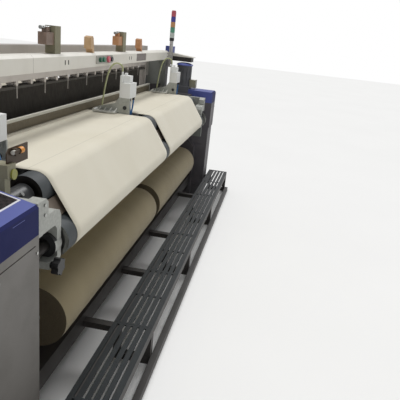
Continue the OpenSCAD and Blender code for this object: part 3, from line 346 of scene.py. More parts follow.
# Top beam. A folded sheet beam in cream enamel, joined near its left third, with four key slots and a
# sunk type plate of grey-brown film that carries no lettering here.
beam_front = -0.349
beam_joint = (-0.864, -0.862)
key_slots, slot_z = (-0.547, -0.508, 0.482, 0.528), (1.2985, 1.3215)
film_x, film_z = (0.65, 0.91), (1.28, 1.34)
beam_cream = machine_enamel("enamel_beam_cream", "#F0EDE4", "#DCD7CC", 0.3)
tree, shader = tree_of(beam_cream)
paint_over(tree, shader, box_mask(tree, beam_joint, None, None), "#A8A398")
type_plate, tree, shader = new_material("grey_brown_film")
shade_between(tree, shader, "#6E6663", "#9A918C", noise_of(tree, 9, 4, (0.4, 1, 1)))
fill(shader, {"Roughness": 0.45})
raise_by(tree, shader, noise_of(tree, 5, 2), 0.15, 0.0003)
slot_dark = machine_enamel("slot_shadow_black", "#1B1A19", "#121110")


def beam_rule(place, normal):
    """The dark insides of the key slots, and the film of the type plate, which lies 1 mm deep."""
    deep = place.y - beam_front
    if -0.0005 < deep < 0.008 and inside(place.z, slot_z):
        if any(abs(place.x - x) < 0.0055 for x in key_slots):
            return 2
    return int(0.0005 < deep < 0.0015 and inside(place.x, film_x) and inside(place.z, film_z))


dress("top_beam", beam_cream, type_plate, slot_dark, rule=beam_rule)


# Blue covers of both cabinets. Vacuum-formed sheet, light blue on top and deep blue on the front band,
# which carries a thin moulded line. The left one has a sunk display behind dark glass in a white frame.
slope = math.tan(math.radians(12))
cabinet_front = -0.795
frame_x, frame_y = (-1.981, -1.686), (-0.746, -0.588)
glass_x, glass_y = (-1.976, -1.692), (-0.741, -0.593)
line_x, line_z = (-1.816, -1.756), (0.9930, 0.9946)
cover_blue = machine_enamel("formed_sheet_blue", "#5761A4", "#474F8E", 0.3, (0.35, 0.5))
tree, shader = tree_of(cover_blue)
paint_over(tree, shader, box_mask(tree, frame_x, frame_y, (1.0, 1.2)), "#DADAE0")
band_blue = machine_enamel("formed_sheet_deep_blue", "#1A2056", "#14183C", 0.3, (0.5, 0.65))
tree, shader = tree_of(band_blue)
fill(shader, {"Specular IOR Level": 0.12})
paint_over(tree, shader, box_mask(tree, line_x, None, line_z), "#6C73B0")
display_glass, tree, shader = new_material("smoked_display_glass")
# The keys under the glass show as faint brown rows
keys = add(tree, "ShaderNodeTexChecker", {
    "Vector": own_place(tree), "Scale": 70,
    "Color1": hex_colour("#161314"), "Color2": hex_colour("#2C2425"),
})
rough_between(tree, shader, 0.15, 0.3, noise_of(tree, 30, 4))
fill(shader, {"Base Color": keys.outputs["Color"], "Specular IOR Level": 0.25})
raise_by(tree, shader, noise_of(tree, 6, 2), 0.05, 0.0003)


def cover_rule(place, normal):
    """The glass lies 1.5 mm or more under the sloping top, and the band faces the weaver."""
    sunk = place.z < 1.011 + (place.y - cabinet_front) * slope - 0.0015 and normal.z > 0.9
    if sunk and inside(place.x, glass_x) and inside(place.y, glass_y):
        return 2
    return int(normal.y < -0.7)


dress("consoles", cover_blue, band_blue, display_glass, rule=cover_rule)


# Turned and ground steel. Shafts, pinions, pulleys and bars, turned or hobbed and left bare and oiled.
# The turning marks run round the shaft, so the pattern is fine along X and long around it.
def turned_steel(name, dark, light, rough=(0.25, 0.42), squeeze=(60, 1, 1)):
    """Turned metal. It gives the eye thin rings of changing shine round the axis."""
    material, tree, shader = new_material(name)
    marks = noise_of(tree, 80, 4, squeeze)
    shade_between(tree, shader, dark, light, marks)
    rough_between(tree, shader, rough[0], rough[1], marks)
    fill(shader, {"Metallic": 1.0})
    raise_by(tree, shader, marks, 0.2, 0.0003)
    return material


shaft_steel = turned_steel("turned_steel_oiled", "#6F7072", "#A5A7A8")
gear_steel = turned_steel("hobbed_steel", "#7F807E", "#B0B0AC", (0.3, 0.5))
bar_steel = turned_steel("drawn_steel_bar", "#8A8B8A", "#B4B5B2", squeeze=(1, 30, 30))
for name in ("main_shaft", "motor_pulley", "cloth_roll_shaft", "nozzles", "weft_cutter", "backrest_roller"):
    dress(name, shaft_steel)
for name in ("take_up_pinion", "let_off_pinion"):
    dress(name, gear_steel)


# Cast aluminium alloy. Roller brackets and temple brackets, sand cast and blasted, left unpainted, with
# dark steel bushes pressed in. The bushes lie on the rollers' axes, which are named here.
breast_r, take_up_r, press_r = 0.064, 0.066, 0.032
cloth_t = 0.0012
cloth_off = 0.0004 + cloth_t / 2
shed_z = 1.0
breast_axis = (-0.610, shed_z - cloth_off - breast_r)
take_up_axis = (-0.705, 0.785)
alloy, tree, shader = new_material("sand_cast_aluminium")
# The blasted skin gives the eye pale blotches about a centimetre wide under a dry grain of a millimetre
grain = noise_of(tree, 12, 6)
shade_between(tree, shader, "#969892", "#C6C8C2", grain)
rough_between(tree, shader, 0.45, 0.65, grain)
fill(shader, {"Metallic": 0.2})
raise_by(tree, shader, noise_of(tree, 1.2, 3), 0.4, 0.0006)
bush_steel = machine_enamel("blued_bush_steel", "#3A3B3C", "#262626", 0.6, (0.3, 0.45))
breast_bush_r, take_up_bush_r = 0.0405, 0.0445
root_x, boss_x, arm_y = 1.559, 1.476, -0.744


def off_axis(place, axis):
    """How far a place lies from an axis along X, which is given by its y and z."""
    return math.hypot(place.y - axis[0], place.z - axis[1])


def bracket_rule(place, normal):
    """Bushes are the round bosses about the two roller axes, but not the roots and the arms' fronts."""
    if abs(place.x) > root_x or (normal.y < -0.9 and place.y < arm_y):
        return 0
    if off_axis(place, breast_axis) < breast_bush_r:
        return 1
    return int(abs(place.x) < boss_x and off_axis(place, take_up_axis) < take_up_bush_r)


dress("roller_brackets", alloy, bush_steel, rule=bracket_rule)
# The ribbed temple arms are newer castings, so they look brighter than their side plates
bright_alloy = machine_enamel("die_cast_zinc_alloy", "#D3D4CF", "#A9AAA5", 0.5, (0.35, 0.5))
arm_reach = (-0.063, -0.0005)


def temple_rule(place, normal):
    """Arms, ribs and temple rollers reach past the side plates, which are 8 mm thick."""
    for unit_x, side in unit_places:
        if inside((place.x - unit_x) * side, arm_reach) and place.z > shed_z:
            return 1
    return 0


dress("temple_brackets", alloy, bright_alloy, rule=temple_rule)


# Bolts and screws. Zinc-plated hexagon heads on the roots, arms and bushes of the roller brackets, the
# ends of the top beam and the corners of both cabinets. One tree sets a head on every point.
def fresh_tree(name, sockets):
    """A Geometry Nodes tree with named inputs; returns the tree, its inputs and its output node."""
    tree = bpy.data.node_groups.new(name, "GeometryNodeTree")
    tree.interface.new_socket(name="Geometry", in_out="OUTPUT", socket_type="NodeSocketGeometry")
    tree.interface.new_socket(name="Geometry", in_out="INPUT", socket_type="NodeSocketGeometry")
    for label, kind, value in sockets:
        socket = tree.interface.new_socket(name=label, in_out="INPUT", socket_type=kind)
        socket.default_value = value
    return tree, add(tree, "NodeGroupInput").outputs, add(tree, "NodeGroupOutput")


def repeat_on(tree, out, points, mesh, material, turn=(0, 0, 0)):
    """Ends a tree: sets a mesh on every point, makes the copies real and gives them a material."""
    many = add(tree, "GeometryNodeInstanceOnPoints", {"Points": points, "Instance": mesh, "Rotation": turn})
    real = add(tree, "GeometryNodeRealizeInstances", {"Geometry": many.outputs[0]})
    done = add(tree, "GeometryNodeSetMaterial", {"Geometry": real.outputs[0], "Material": material})
    fill(out, {"Geometry": done.outputs[0]})
    return tree


def grow(name, tree, start_mesh, values=None):
    """Runs a tree on a mesh with the given inputs, and returns the result as a plain mesh object."""
    base = place_object(name + "_base", start_mesh)
    modifier = base.modifiers.new("grow", "NODES")
    modifier.node_group = tree
    names = {item.name: item.identifier for item in tree.interface.items_tree if item.in_out == "INPUT"}
    for label, value in (values or {}).items():
        modifier[names[label]] = value
    bpy.context.view_layer.update()
    made = bpy.data.meshes.new_from_object(base.evaluated_get(bpy.context.evaluated_depsgraph_get()))
    made.name = name
    bpy.data.objects.remove(base)
    return place_object(name, made)


def bolt_tree(name, material):
    """A hexagon head on every point, with its size and turn as inputs."""
    tree, given, out = fresh_tree(name, [
        ("Radius", "NodeSocketFloat", 0.008), ("Height", "NodeSocketFloat", 0.006),
        ("Turn", "NodeSocketVector", (0, 0, 0)),
    ])
    head = add(tree, "GeometryNodeMeshCylinder", {
        "Vertices": 6, "Radius": given["Radius"], "Depth": given["Height"],
    })
    turn = add(tree, "FunctionNodeEulerToRotation", {"Euler": given["Turn"]})
    return repeat_on(tree, out, given["Geometry"], head.outputs["Mesh"], material, turn.outputs[0])


bolt_steel = turned_steel("zinc_plated_bolt_steel", "#9B9C9A", "#C9CAC6", (0.25, 0.4), (1, 1, 1))
bolt_heads = bolt_tree("bolt_heads", bolt_steel)


def set_bolts(name, points, facing, radius=0.008, height=0.006):
    """Bolt heads at points on a surface that faces along a vector, half a millimetre sunk in it."""
    facing = Vector(facing).normalized()
    points = [Vector(p) + facing * (height / 2 - 0.0005) for p in points]
    mesh = bpy.data.meshes.new(name)
    mesh.from_pydata(points, [], [])
    turn = facing.to_track_quat("Z", "Y").to_euler()
    piece = grow(name, bolt_heads, mesh, {"Radius": radius, "Height": height, "Turn": tuple(turn)})
    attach(piece, "loom")


weaver = (0, -1, 0)
bush_out = Vector((0, -0.77, 0.64)).normalized()
for label, side in (("left", -1), ("right", 1)):
    root = [(side * 1.560, y, z) for y, z in ((-0.465, 0.730), (-0.465, 0.945), (-0.560, 0.730))]
    set_bolts(f"bracket_root_bolts_{label}", root, (-side, 0, 0), 0.011, 0.009)
    arm = [(side * 1.546, -0.745, z) for z in (0.925, 0.958)]
    set_bolts(f"bracket_arm_bolts_{label}", arm, weaver, 0.006, 0.005)
    bush = Vector((side * 1.500, *breast_axis)) + bush_out * 0.040
    set_bolts(f"bush_bolt_{label}", [bush], bush_out, 0.008, 0.009)
    beam_end = [(side * 1.610, -0.350, z) for z in (1.300, 1.328)]
    set_bolts(f"top_beam_end_bolts_{label}", beam_end, weaver, 0.006, 0.004)
    corners = [(side * x, cabinet_front, z) for x in (1.692, 1.888) for z in (0.150, 0.870)]
    set_bolts(f"cabinet_screws_{label}", corners, weaver, 0.005, 0.003)


# Front rollers. Steel tubes covered with a dark grip rubber, ground with a fine pebbled grain.
# Their bare end rings and shafts are turned steel, and the take-up roller carries its gear. The guard
# plate between them is painted grey-brown.
grip_rubber, tree, shader = new_material("ground_grip_rubber")
# The pebbled grain gives the eye a dull dark skin with pale dust on the crowns
pebble = noise_of(tree, 4.5, 4)
shade_between(tree, shader, "#32373A", "#4F5456", pebble)
rough_between(tree, shader, 0.5, 0.75, pebble)
raise_by(tree, shader, noise_of(tree, 1.5, 3), 0.5, 0.0008)

press_turn = math.radians(-20)
press_far = take_up_r + press_r + 0.0008 + cloth_t
press_axis = (
    take_up_axis[0] + press_far * math.cos(press_turn), take_up_axis[1] + press_far * math.sin(press_turn),
)
roller_x = 1.420


def roller_rule(axis, radius):
    """Rubber on the outer skin, steel on the rest."""
    def rule(place, normal):
        skin = off_axis(place, axis) > radius * 0.97 and abs(normal.x) < 0.5
        return 0 if skin and abs(place.x) < roller_x + 0.0005 else 1
    return rule


def take_up_rule(place, normal):
    """The same, but the shaft's left end is darker than the gear that it carries."""
    if place.x < -roller_x and off_axis(place, take_up_axis) < 0.04:
        return 2
    return roller_rule(take_up_axis, take_up_r)(place, normal)


end_steel = turned_steel("turned_roller_end", "#302E2C", "#4A4745", (0.45, 0.6))
dress("breast_roller", grip_rubber, end_steel, rule=roller_rule(breast_axis, breast_r))
dress("take_up_roller", grip_rubber, gear_steel, end_steel, rule=take_up_rule)
dress("press_roller", grip_rubber, end_steel, rule=roller_rule(press_axis, press_r))

guard_enamel = machine_enamel("enamel_grey_brown", "#80756A", "#615850")
dress("guard_plate", guard_enamel)


# The two cloths. Plain-woven cotton, unbleached and off-white, tight from the fell over the rollers.
# The threads are drawn six times too coarse, so that the weave can show, and a thin darker line of painted
# shade marks the crease across the cloth just before the upper roller.
def rim_point(centre, radius, angle):
    """A point of a circle round an axis along X."""
    return Vector((0, centre[0] + radius * math.cos(angle), centre[1] + radius * math.sin(angle)))


def touch_angle(c1, r1, c2, r2, side):
    """The direction from both centres to the line that touches two circles on the same side."""
    dy, dz = c2[0] - c1[0], c2[1] - c1[1]
    return math.atan2(dz, dy) + side * math.acos((r1 - r2) / math.hypot(dy, dz))


fell_y = -0.278
roll_axis = (-0.605, 0.412)
roll_r = 0.132
breast_rim, take_up_rim, press_rim, roll_rim = [r + cloth_off for r in (breast_r, take_up_r, press_r, roll_r)]
leave = touch_angle(breast_axis, breast_rim, take_up_axis, take_up_rim, -1) + 2 * math.pi
drop = touch_angle(press_axis, press_rim, roll_axis, roll_rim, 1)
cloth_line = [Vector((0, fell_y + (breast_axis[0] - fell_y) * i / 12, shed_z)) for i in range(12)]
for centre, radius, start, end, steps in (
    (breast_axis, breast_rim, math.pi / 2, leave, 12),
    (take_up_axis, take_up_rim, leave, 2 * math.pi + press_turn, 30),
    (press_axis, press_rim, math.pi + press_turn, drop, 16),
):
    cloth_line += [rim_point(centre, radius, start + (end - start) * i / steps) for i in range(steps + 1)]
cloth_line.append(rim_point(roll_axis, roll_rim, drop))
cloth_x = 1.350
cloth_sides = [(-cloth_x, 0.0125), (0.0975, cloth_x)]
crease_shade_run = 0.299


def stripes(tree, vector, pitch, axis, distortion=0.4):
    """A wave along one axis with a pitch in metres. The node's own pitch is pi / 10 at a scale of 1."""
    wave = {"Vector": vector, "Scale": math.pi / 10 / pitch, "Distortion": distortion}
    return add(tree, "ShaderNodeTexWave", wave, bands_direction=axis).outputs["Fac"]


def woven_cotton(name, dark, light, thread=0.003):
    """Plain weave on the piece's own UV map in metres. It gives the eye a matt cloth with faint threads."""
    material, tree, shader = new_material(name)
    flat = add(tree, "ShaderNodeUVMap").outputs["UV"]
    over = calculate(tree, "MULTIPLY", stripes(tree, flat, thread, "X"), stripes(tree, flat, thread, "Y"))
    long = add(tree, "ShaderNodeMapping", {"Vector": flat, "Scale": (2.5, 1.2, 1)}).outputs["Vector"]
    drift = add(tree, "ShaderNodeTexNoise", {"Vector": long, "Scale": 1.6, "Detail": 2}).outputs["Fac"]
    shade_between(tree, shader, dark, light, calculate(tree, "MULTIPLY_ADD", over, 0.16, drift))
    fill(shader, {"Roughness": 0.8, "Sheen Weight": 0.2, "Sheen Roughness": 0.4})
    raise_by(tree, shader, over, 0.25, 0.0004)
    return material


def sheet_mesh(name, line, x0, x1, columns, material):
    """A sheet that follows a line in Y and Z, as wide as x0 to x1, with a UV map in metres."""
    mesh = bpy.data.meshes.new(name)
    verts, run = [], [0.0]
    for a, b in zip(line, line[1:]):
        run.append(run[-1] + (b - a).length)
    for p in line:
        verts += [(x0 + (x1 - x0) * c / columns, p.y, p.z) for c in range(columns + 1)]
    wide = columns + 1
    faces = [
        (r * wide + c, r * wide + c + 1, (r + 1) * wide + c + 1, (r + 1) * wide + c)
        for r in range(len(line) - 1) for c in range(columns)
    ]
    mesh.from_pydata(verts, [], faces)
    layer = mesh.uv_layers.new(name="flat")
    for loop in mesh.loops:
        row, column = divmod(loop.vertex_index, wide)
        layer.data[loop.index].uv = (x0 + (x1 - x0) * column / columns, run[row])
    mesh.materials.append(material)
    mesh.shade_smooth()
    return place_object(name, mesh), run[-1]


cotton = woven_cotton("unbleached_cotton", "#DAD3BE", "#EAE5D5")
tree, shader = tree_of(cotton)
flat = add(tree, "ShaderNodeUVMap").outputs["UV"]
run = add(tree, "ShaderNodeSeparateXYZ", {"Vector": flat}).outputs["Y"]
# The thin darker line across the cloth at this run is painted shade along the crease
line = calculate(tree, "COMPARE", run, crease_shade_run, 0.0011)
paint_over(tree, shader, calculate(tree, "MULTIPLY", line, 0.45), "#8E8A7C")
for k, (x0, x1) in enumerate(cloth_sides):
    cloth, cloth_length = sheet_mesh(f"cloth_{k}", cloth_line, x0, x1, 40, cotton)
    shell = cloth.modifiers.new("thickness", "SOLIDIFY")
    shell.thickness = cloth_t
    shell.offset = 0
    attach(cloth, "loom")
    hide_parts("cloth")


# The two cloth rolls. The same cloth wound on a round shaft, layer on layer, in the shade of the rollers;
# its brown is painted shade. The layers end unevenly, and both end faces are painted darker as painted shade.
# The brown of the wound cloth is painted shade over the off-white cotton
wound_cotton_painted_shade = woven_cotton("wound_cotton_painted_shade", "#84785B", "#9F9272")
roll_end_shade, tree, shader = new_material("cloth_roll_end_shade")
# Both end faces are painted dark brown as painted shade, with a fine mottle of frayed pale threads
shade_between(tree, shader, "#4A4234", "#6C6049", noise_of(tree, 5, 5))
fill(shader, {"Roughness": 0.9})
raise_by(tree, shader, noise_of(tree, 2, 3), 0.5, 0.0008)


def lathe(name, profile, axis, material, steps=96):
    """Turns a profile of (x, radius) points round an axis along X, with a UV map in metres."""
    shape = bmesh.new()
    flat = shape.loops.layers.uv.new("flat")
    rings = []
    for x, r in profile:
        rings.append([
            shape.verts.new((x, axis[0] + r * math.cos(a), axis[1] + r * math.sin(a)))
            for a in (2 * math.pi * i / steps for i in range(steps))
        ])
    run = [0.0]
    for a, b in zip(profile, profile[1:]):
        run.append(run[-1] + math.dist(a, b))
    largest = max(r for _, r in profile)
    for row, (low, high) in enumerate(zip(rings, rings[1:])):
        for i in range(steps):
            j = (i + 1) % steps
            face = shape.faces.new((low[i], low[j], high[j], high[i]))
            ends = ((row, i), (row, i + 1), (row + 1, i + 1), (row + 1, i))
            for loop, (at, turn) in zip(face.loops, ends):
                loop[flat].uv = (run[at], turn * 2 * math.pi * largest / steps)
    bmesh.ops.remove_doubles(shape, verts=shape.verts, dist=1e-7)
    bmesh.ops.recalc_face_normals(shape, faces=shape.faces)
    mesh = bpy.data.meshes.new(name)
    shape.to_mesh(mesh)
    shape.free()
    mesh.materials.append(material)
    mesh.shade_smooth()
    mesh.set_sharp_from_angle(angle=math.radians(35))
    return place_object(name, mesh)


core_r, edge_r = 0.0221, roll_r - 0.002
rings, waves = 18, 42
uneven = 0.0012
reach = [core_r + (edge_r - core_r) * i / rings for i in range(rings + 1)]
for k, (x0, x1) in enumerate(cloth_sides):
    left_end = [(x0 + uneven * abs(math.sin(7.1 * i)), r) for i, r in enumerate(reach)]
    skin = [
        (x0 + (x1 - x0) * (i + 1) / waves, roll_r - 0.0004 - 0.0005 * math.sin(i * 1.7) * math.sin(i * 0.37))
        for i in range(waves - 1)
    ]
    right_end = [(x1 - uneven * abs(math.sin(5.3 * i)), r) for i, r in enumerate(reach)]
    profile = left_end + skin + right_end[::-1] + [left_end[0]]
    roll = lathe(f"cloth_roll_{k}", profile, roll_axis, wound_cotton_painted_shade)
    roll.data.materials.append(roll_end_shade)
    # The end faces take the darker painted-shade material
    for face in roll.data.polygons:
        face.material_index = 1 if abs(face.normal.x) > 0.5 else 0
    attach(roll, "cloth_roll")
    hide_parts("cloth_rolls")


# The warp. Sized cotton yarns, drawn six times too coarse, with the healds and dents between them.
# They run from the beam over the back rest to the fell, and lie wound on the beam between its flanges.
def row_tree(name, material):
    """Repeats the mesh that it is given along X, a count of times at a pitch."""
    tree, given, out = fresh_tree(name, [
        ("First", "NodeSocketFloat", 0.0), ("Pitch", "NodeSocketFloat", 0.01),
        ("Count", "NodeSocketInt", 2),
    ])
    start = add(tree, "ShaderNodeCombineXYZ", {"X": given["First"]})
    step = add(tree, "ShaderNodeCombineXYZ", {"X": given["Pitch"]})
    line = add(tree, "GeometryNodeMeshLine", {
        "Count": given["Count"], "Start Location": start.outputs[0], "Offset": step.outputs[0],
    })
    return repeat_on(tree, out, line.outputs[0], given["Geometry"], material)


end_pitch = 0.0024
sized_yarn, tree, shader = new_material("sized_cotton_yarn")
# The size gives the yarns a smooth stiff look, and the wound warp shows them as fine rings
ends = stripes(tree, own_place(tree), end_pitch, "X", 0.6)
shade_between(tree, shader, "#C2BAA4", "#E6E0CF", ends)
fill(shader, {"Roughness": 0.75})
raise_by(tree, shader, ends, 0.6, 0.0006)

backrest_rim = 0.070 + cloth_off
backrest_axis = (0.760, shed_z - backrest_rim)
beam_axis = (0.620, 0.430)
yarn_r = 0.290
turn_warp = touch_angle(backrest_axis, backrest_rim, beam_axis, yarn_r + cloth_off, 1)
warp_line = [Vector((0, y, shed_z)) for y in (fell_y + 0.0005, 0.0, 0.4)]
bend = turn_warp - math.pi / 2
warp_line += [rim_point(backrest_axis, backrest_rim, math.pi / 2 + bend * i / 10) for i in range(11)]
warp_line.append(rim_point(beam_axis, yarn_r + cloth_off, turn_warp))
yarn_rows = row_tree("yarn_rows", sized_yarn)
for k, (x0, x1) in enumerate(cloth_sides):
    first = math.ceil(x0 / end_pitch) * end_pitch + end_pitch / 2
    count = int((x1 - 0.002 - first) / end_pitch) + 1
    band, _ = sheet_mesh("band", warp_line, -0.0006, 0.0006, 1, sized_yarn)
    warp = grow(f"warp_yarns_{k}", yarn_rows, band.data, {
        "First": first, "Pitch": end_pitch, "Count": count,
    })
    bpy.data.objects.remove(band)
    shell = warp.modifiers.new("thickness", "SOLIDIFY")
    shell.thickness = 0.0008
    shell.offset = 0
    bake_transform(warp)
    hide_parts("warp_sheet")

wound_x, wound_low = 1.3995, 0.0405
yarn_profile = [(-wound_x, wound_low)]
yarn_profile += [
    (wound_x * (i / 30 - 1), yarn_r - 0.0006 - 0.0006 * math.sin(i * 2.3) ** 2) for i in range(61)
]
yarn_profile += [(wound_x, wound_low), (-wound_x, wound_low)]
wound_warp = lathe("wound_warp", yarn_profile, beam_axis, sized_yarn)
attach(wound_warp, "warp_beam")
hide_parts("warp_yarn")

beam_alloy = turned_steel("turned_beam_alloy", "#A2A4A3", "#C4C6C4", (0.3, 0.5))
dress("warp_beam", beam_alloy)


# The reed. A profile reed: flat steel dents with an air tunnel in their front edges, soldered into a cap
# and a sole. Here the dents stand 2.4 mm apart, about four times the real spacing, so that they can show.
reed_y0, reed_y1 = -0.247, -0.233
reed_z0, reed_z1 = 0.940, 1.060
reed_x = 1.460
dent_steel, tree, shader = new_material("rolled_dent_steel")
# Rolled flat wire gives the eye a brown-grey satin that changes from dent to dent
shade_between(tree, shader, "#8F8778", "#C2B8A5", noise_of(tree, 17, 3, (8, 1, 1)))
fill(shader, {"Metallic": 0.3, "Roughness": 0.45})
cap_alloy = machine_enamel("anodised_cap_alloy", "#E4E3DA", "#C2C0B4", 0.4, (0.35, 0.5))


def prism(name, outline, x0, x1, material):
    """A bar along X with the outline given in Y and Z."""
    shape = bmesh.new()
    ends = [[shape.verts.new((x, y, z)) for y, z in outline] for x in (x0, x1)]
    for i in range(len(outline)):
        j = (i + 1) % len(outline)
        shape.faces.new((ends[0][i], ends[0][j], ends[1][j], ends[1][i]))
    shape.faces.new(ends[0])
    shape.faces.new(ends[1])
    bmesh.ops.recalc_face_normals(shape, faces=shape.faces)
    mesh = bpy.data.meshes.new(name)
    shape.to_mesh(mesh)
    shape.free()
    mesh.materials.append(material)
    return mesh


def join_meshes(name, meshes):
    """Joins meshes into one piece, keeping each one's material."""
    pieces = [place_object(name, mesh) for mesh in meshes]
    with bpy.context.temp_override(active_object=pieces[0], selected_editable_objects=pieces):
        bpy.ops.object.join()
    return pieces[0]


def reed_outline(high):
    """The outline of a bar as deep as the reed that stands on its low edge."""
    return [(reed_y0, reed_z0), (reed_y1, reed_z0), (reed_y1, reed_z0 + high), (reed_y0, reed_z0 + high)]


dent_z0, dent_z1 = reed_z0 + 0.018, reed_z1 - 0.012
tunnel_y = reed_y0 + 0.005
dent_outline = [
    (reed_y0, dent_z0), (reed_y1, dent_z0), (reed_y1, dent_z1), (reed_y0, dent_z1),
    (reed_y0, 1.007), (tunnel_y, 1.005), (tunnel_y, 0.996), (reed_y0, 0.995),
]
dent_rows = row_tree("dent_rows", dent_steel)
cheek = 0.020
dents_out = int((reed_x - cheek - 0.002) / end_pitch)
dents = grow("reed_dents", dent_rows, prism("dent", dent_outline, -0.0004, 0.0004, dent_steel), {
    "First": -dents_out * end_pitch, "Pitch": end_pitch, "Count": 2 * dents_out + 1,
})
reed = join_meshes("reed_frame", [
    prism("cap", [
        (reed_y0, reed_z1 - 0.014), (reed_y1, reed_z1 - 0.014), (reed_y1, reed_z1 - 0.001),
        (reed_y1 - 0.001, reed_z1), (reed_y0 + 0.001, reed_z1), (reed_y0, reed_z1 - 0.001),
    ], -reed_x, reed_x, cap_alloy),
    prism("sole", reed_outline(0.020), -reed_x, reed_x, cap_alloy),
    prism("left_cheek", reed_outline(reed_z1 - reed_z0), -reed_x, -reed_x + cheek, cap_alloy),
    prism("right_cheek", reed_outline(reed_z1 - reed_z0), reed_x - cheek, reed_x, cap_alloy),
])
for piece in (dents, reed):
    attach(piece, "sley")
    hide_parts("reed")
sley_alloy = machine_enamel("anodised_sley_alloy", "#8C8E8D", "#6A6C6B", 0.6)
dress("sley", sley_alloy)


# Heald frames and healds. Hollow light-alloy staves with hooks, and flat steel healds on two rods, drawn
# without their eyes. The healds of the four frames stand in turn, so that they look like a curtain.
stave_alloy = machine_enamel("anodised_stave_alloy", "#D6D0CB", "#B4AEA8", 0.4, (0.35, 0.5))
heald_steel, tree, shader = new_material("oiled_heald_steel")
# Oiled flat wire gives the eye a nearly black curtain with thin lighter lines
shade_between(tree, shader, "#53514E", "#787470", noise_of(tree, 33, 3, (12, 1, 1)))
fill(shader, {"Metallic": 0.3, "Roughness": 0.55})
heald_rows = row_tree("heald_rows", heald_steel)


def bar_outline(y, z, wide, high):
    """The outline of a flat bar from its middle y and its low z."""
    return [(y - wide / 2, z), (y + wide / 2, z), (y + wide / 2, z + high), (y - wide / 2, z + high)]


def wire_row(name, rows, wire, k):
    """Every fourth wire across the cloths, beginning with the one numbered k."""
    first = (math.ceil(-cloth_x / end_pitch) + k) * end_pitch
    count = int((cloth_x - first) / (4 * end_pitch)) + 1
    return grow(name, rows, wire, {"First": first, "Pitch": 4 * end_pitch, "Count": count})


first_frame_y, frame_pitch = -0.173, 0.014
lower_rod_z, upper_rod_z = 0.812, 1.174
rod_x = 1.520
for k in range(4):
    dress(f"heald_frame_{k + 1}", stave_alloy)
    middle_y = first_frame_y + frame_pitch * k
    strip = prism("heald", bar_outline(middle_y, lower_rod_z, 0.0055, 0.376), -0.00055, 0.00055, heald_steel)
    wires = wire_row(f"heald_wires_{k + 1}", heald_rows, strip, k)
    rods = join_meshes(f"heald_rods_{k + 1}", [
        prism("rod", bar_outline(middle_y, z, 0.003, 0.012), -rod_x, rod_x, heald_steel)
        for z in (lower_rod_z, upper_rod_z)
    ])
    for piece in (wires, rods):
        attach(piece, f"heald_{k + 1}")
        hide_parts(f"healds_{k + 1}")


# Warp stop motion. Thin steel drop wires hang between the yarns, on four contact bars of drawn steel that
# run between two painted plates.
drop_rows = row_tree("drop_rows", bar_steel)
stop_parts = []
bar_x, plate_x = 1.570, 1.590
first_bar_y, bar_pitch = 0.2615, 0.040
for k in range(4):
    y = first_bar_y + bar_pitch * k
    strip = prism("drop_wire", bar_outline(y, 0.890, 0.009, 0.150), -0.0004, 0.0004, bar_steel)
    wires = wire_row(f"drop_wires_{k + 1}", drop_rows, strip, k)
    bar = prism("bar", bar_outline(y, 1.026, 0.003, 0.016), -bar_x, bar_x, bar_steel)
    stop_parts += [wires, place_object(f"contact_bar_{k + 1}", bar)]
plate_outline = bar_outline(0.3215, 0.860, 0.155, 0.192)
stop_parts.append(join_meshes("stop_plates", [
    prism("plate", plate_outline, -plate_x, -bar_x, frame_grey),
    prism("plate", plate_outline, bar_x, plate_x, frame_grey),
]))
for piece in stop_parts:
    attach(piece, "loom")
    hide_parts("stop_motion")


# Button panel on the top beam. A moulded grey box with four push buttons: two green ones to start and
# jog, a wider rose one with a mushroom head to stop, and a black one to reset.
def moulded_plastic(name, dark, light, rough=(0.35, 0.5)):
    """Moulded plastic. It gives the eye an even colour with a fine leathery skin."""
    material, tree, shader = new_material(name)
    patch = noise_of(tree, 40, 3)
    shade_between(tree, shader, dark, light, patch)
    rough_between(tree, shader, rough[0], rough[1], patch)
    raise_by(tree, shader, noise_of(tree, 0.8, 2), 0.2, 0.0003)
    return material


dress("button_panel", moulded_plastic("moulded_grey_plastic", "#ABA8A1", "#BDBAB3"))
dress("start_button", moulded_plastic("button_dark_green", "#124F3A", "#1C6249", (0.2, 0.3)))
dress("jog_button", moulded_plastic("button_green", "#1B664A", "#2B8263", (0.2, 0.3)))
dress("stop_button", moulded_plastic("button_rose", "#D25064", "#E67383", (0.2, 0.3)))
dress("reset_button", moulded_plastic("button_black", "#1D1C1E", "#302F31", (0.2, 0.3)))


# Heald-frame guides on the top beam. Folded posts in khaki enamel, blocks still in their brown and
# orange shipping film, and a steel cross rod through each clamp post.
def shipping_film(name, dark, light):
    """Plastic film over wood and metal. It gives the eye creases a few centimetres wide with soft shine."""
    material, tree, shader = new_material(name)
    crease = noise_of(tree, 35, 6)
    shade_between(tree, shader, dark, light, crease)
    rough_between(tree, shader, 0.3, 0.55, crease)
    fill(shader, {"Coat Weight": 0.2})
    raise_by(tree, shader, noise_of(tree, 14, 3), 0.7, 0.002)
    return material


film_brown = shipping_film("shipping_film_brown", "#6F5D52", "#A08878")
film_orange = shipping_film("shipping_film_orange", "#B57C52", "#DBA578")
film_tan = shipping_film("shipping_film_tan", "#C09A6E", "#E2C097")
post_khaki = machine_enamel("enamel_khaki", "#97937B", "#6E6A55", 0.6)
clamp_places = (-0.600, 0.400)
post_half = 0.0303
rod_axis, rod_r = (-0.306, 1.465), 0.0085


def guide_rule(place, normal):
    """Rod, posts, and the films of the two clamp blocks and the two plate guides."""
    if place.z > 1.4555 and off_axis(place, rod_axis) < rod_r:
        return 3
    for k, x in enumerate(clamp_places):
        if abs(place.x - x) < post_half:
            return 4
        if -0.106 < place.x - x < -post_half:
            return k
    return 2 if place.x < 0.3 else 1


dress("frame_guides", film_brown, film_orange, film_tan, bar_steel, post_khaki, rule=guide_rule)
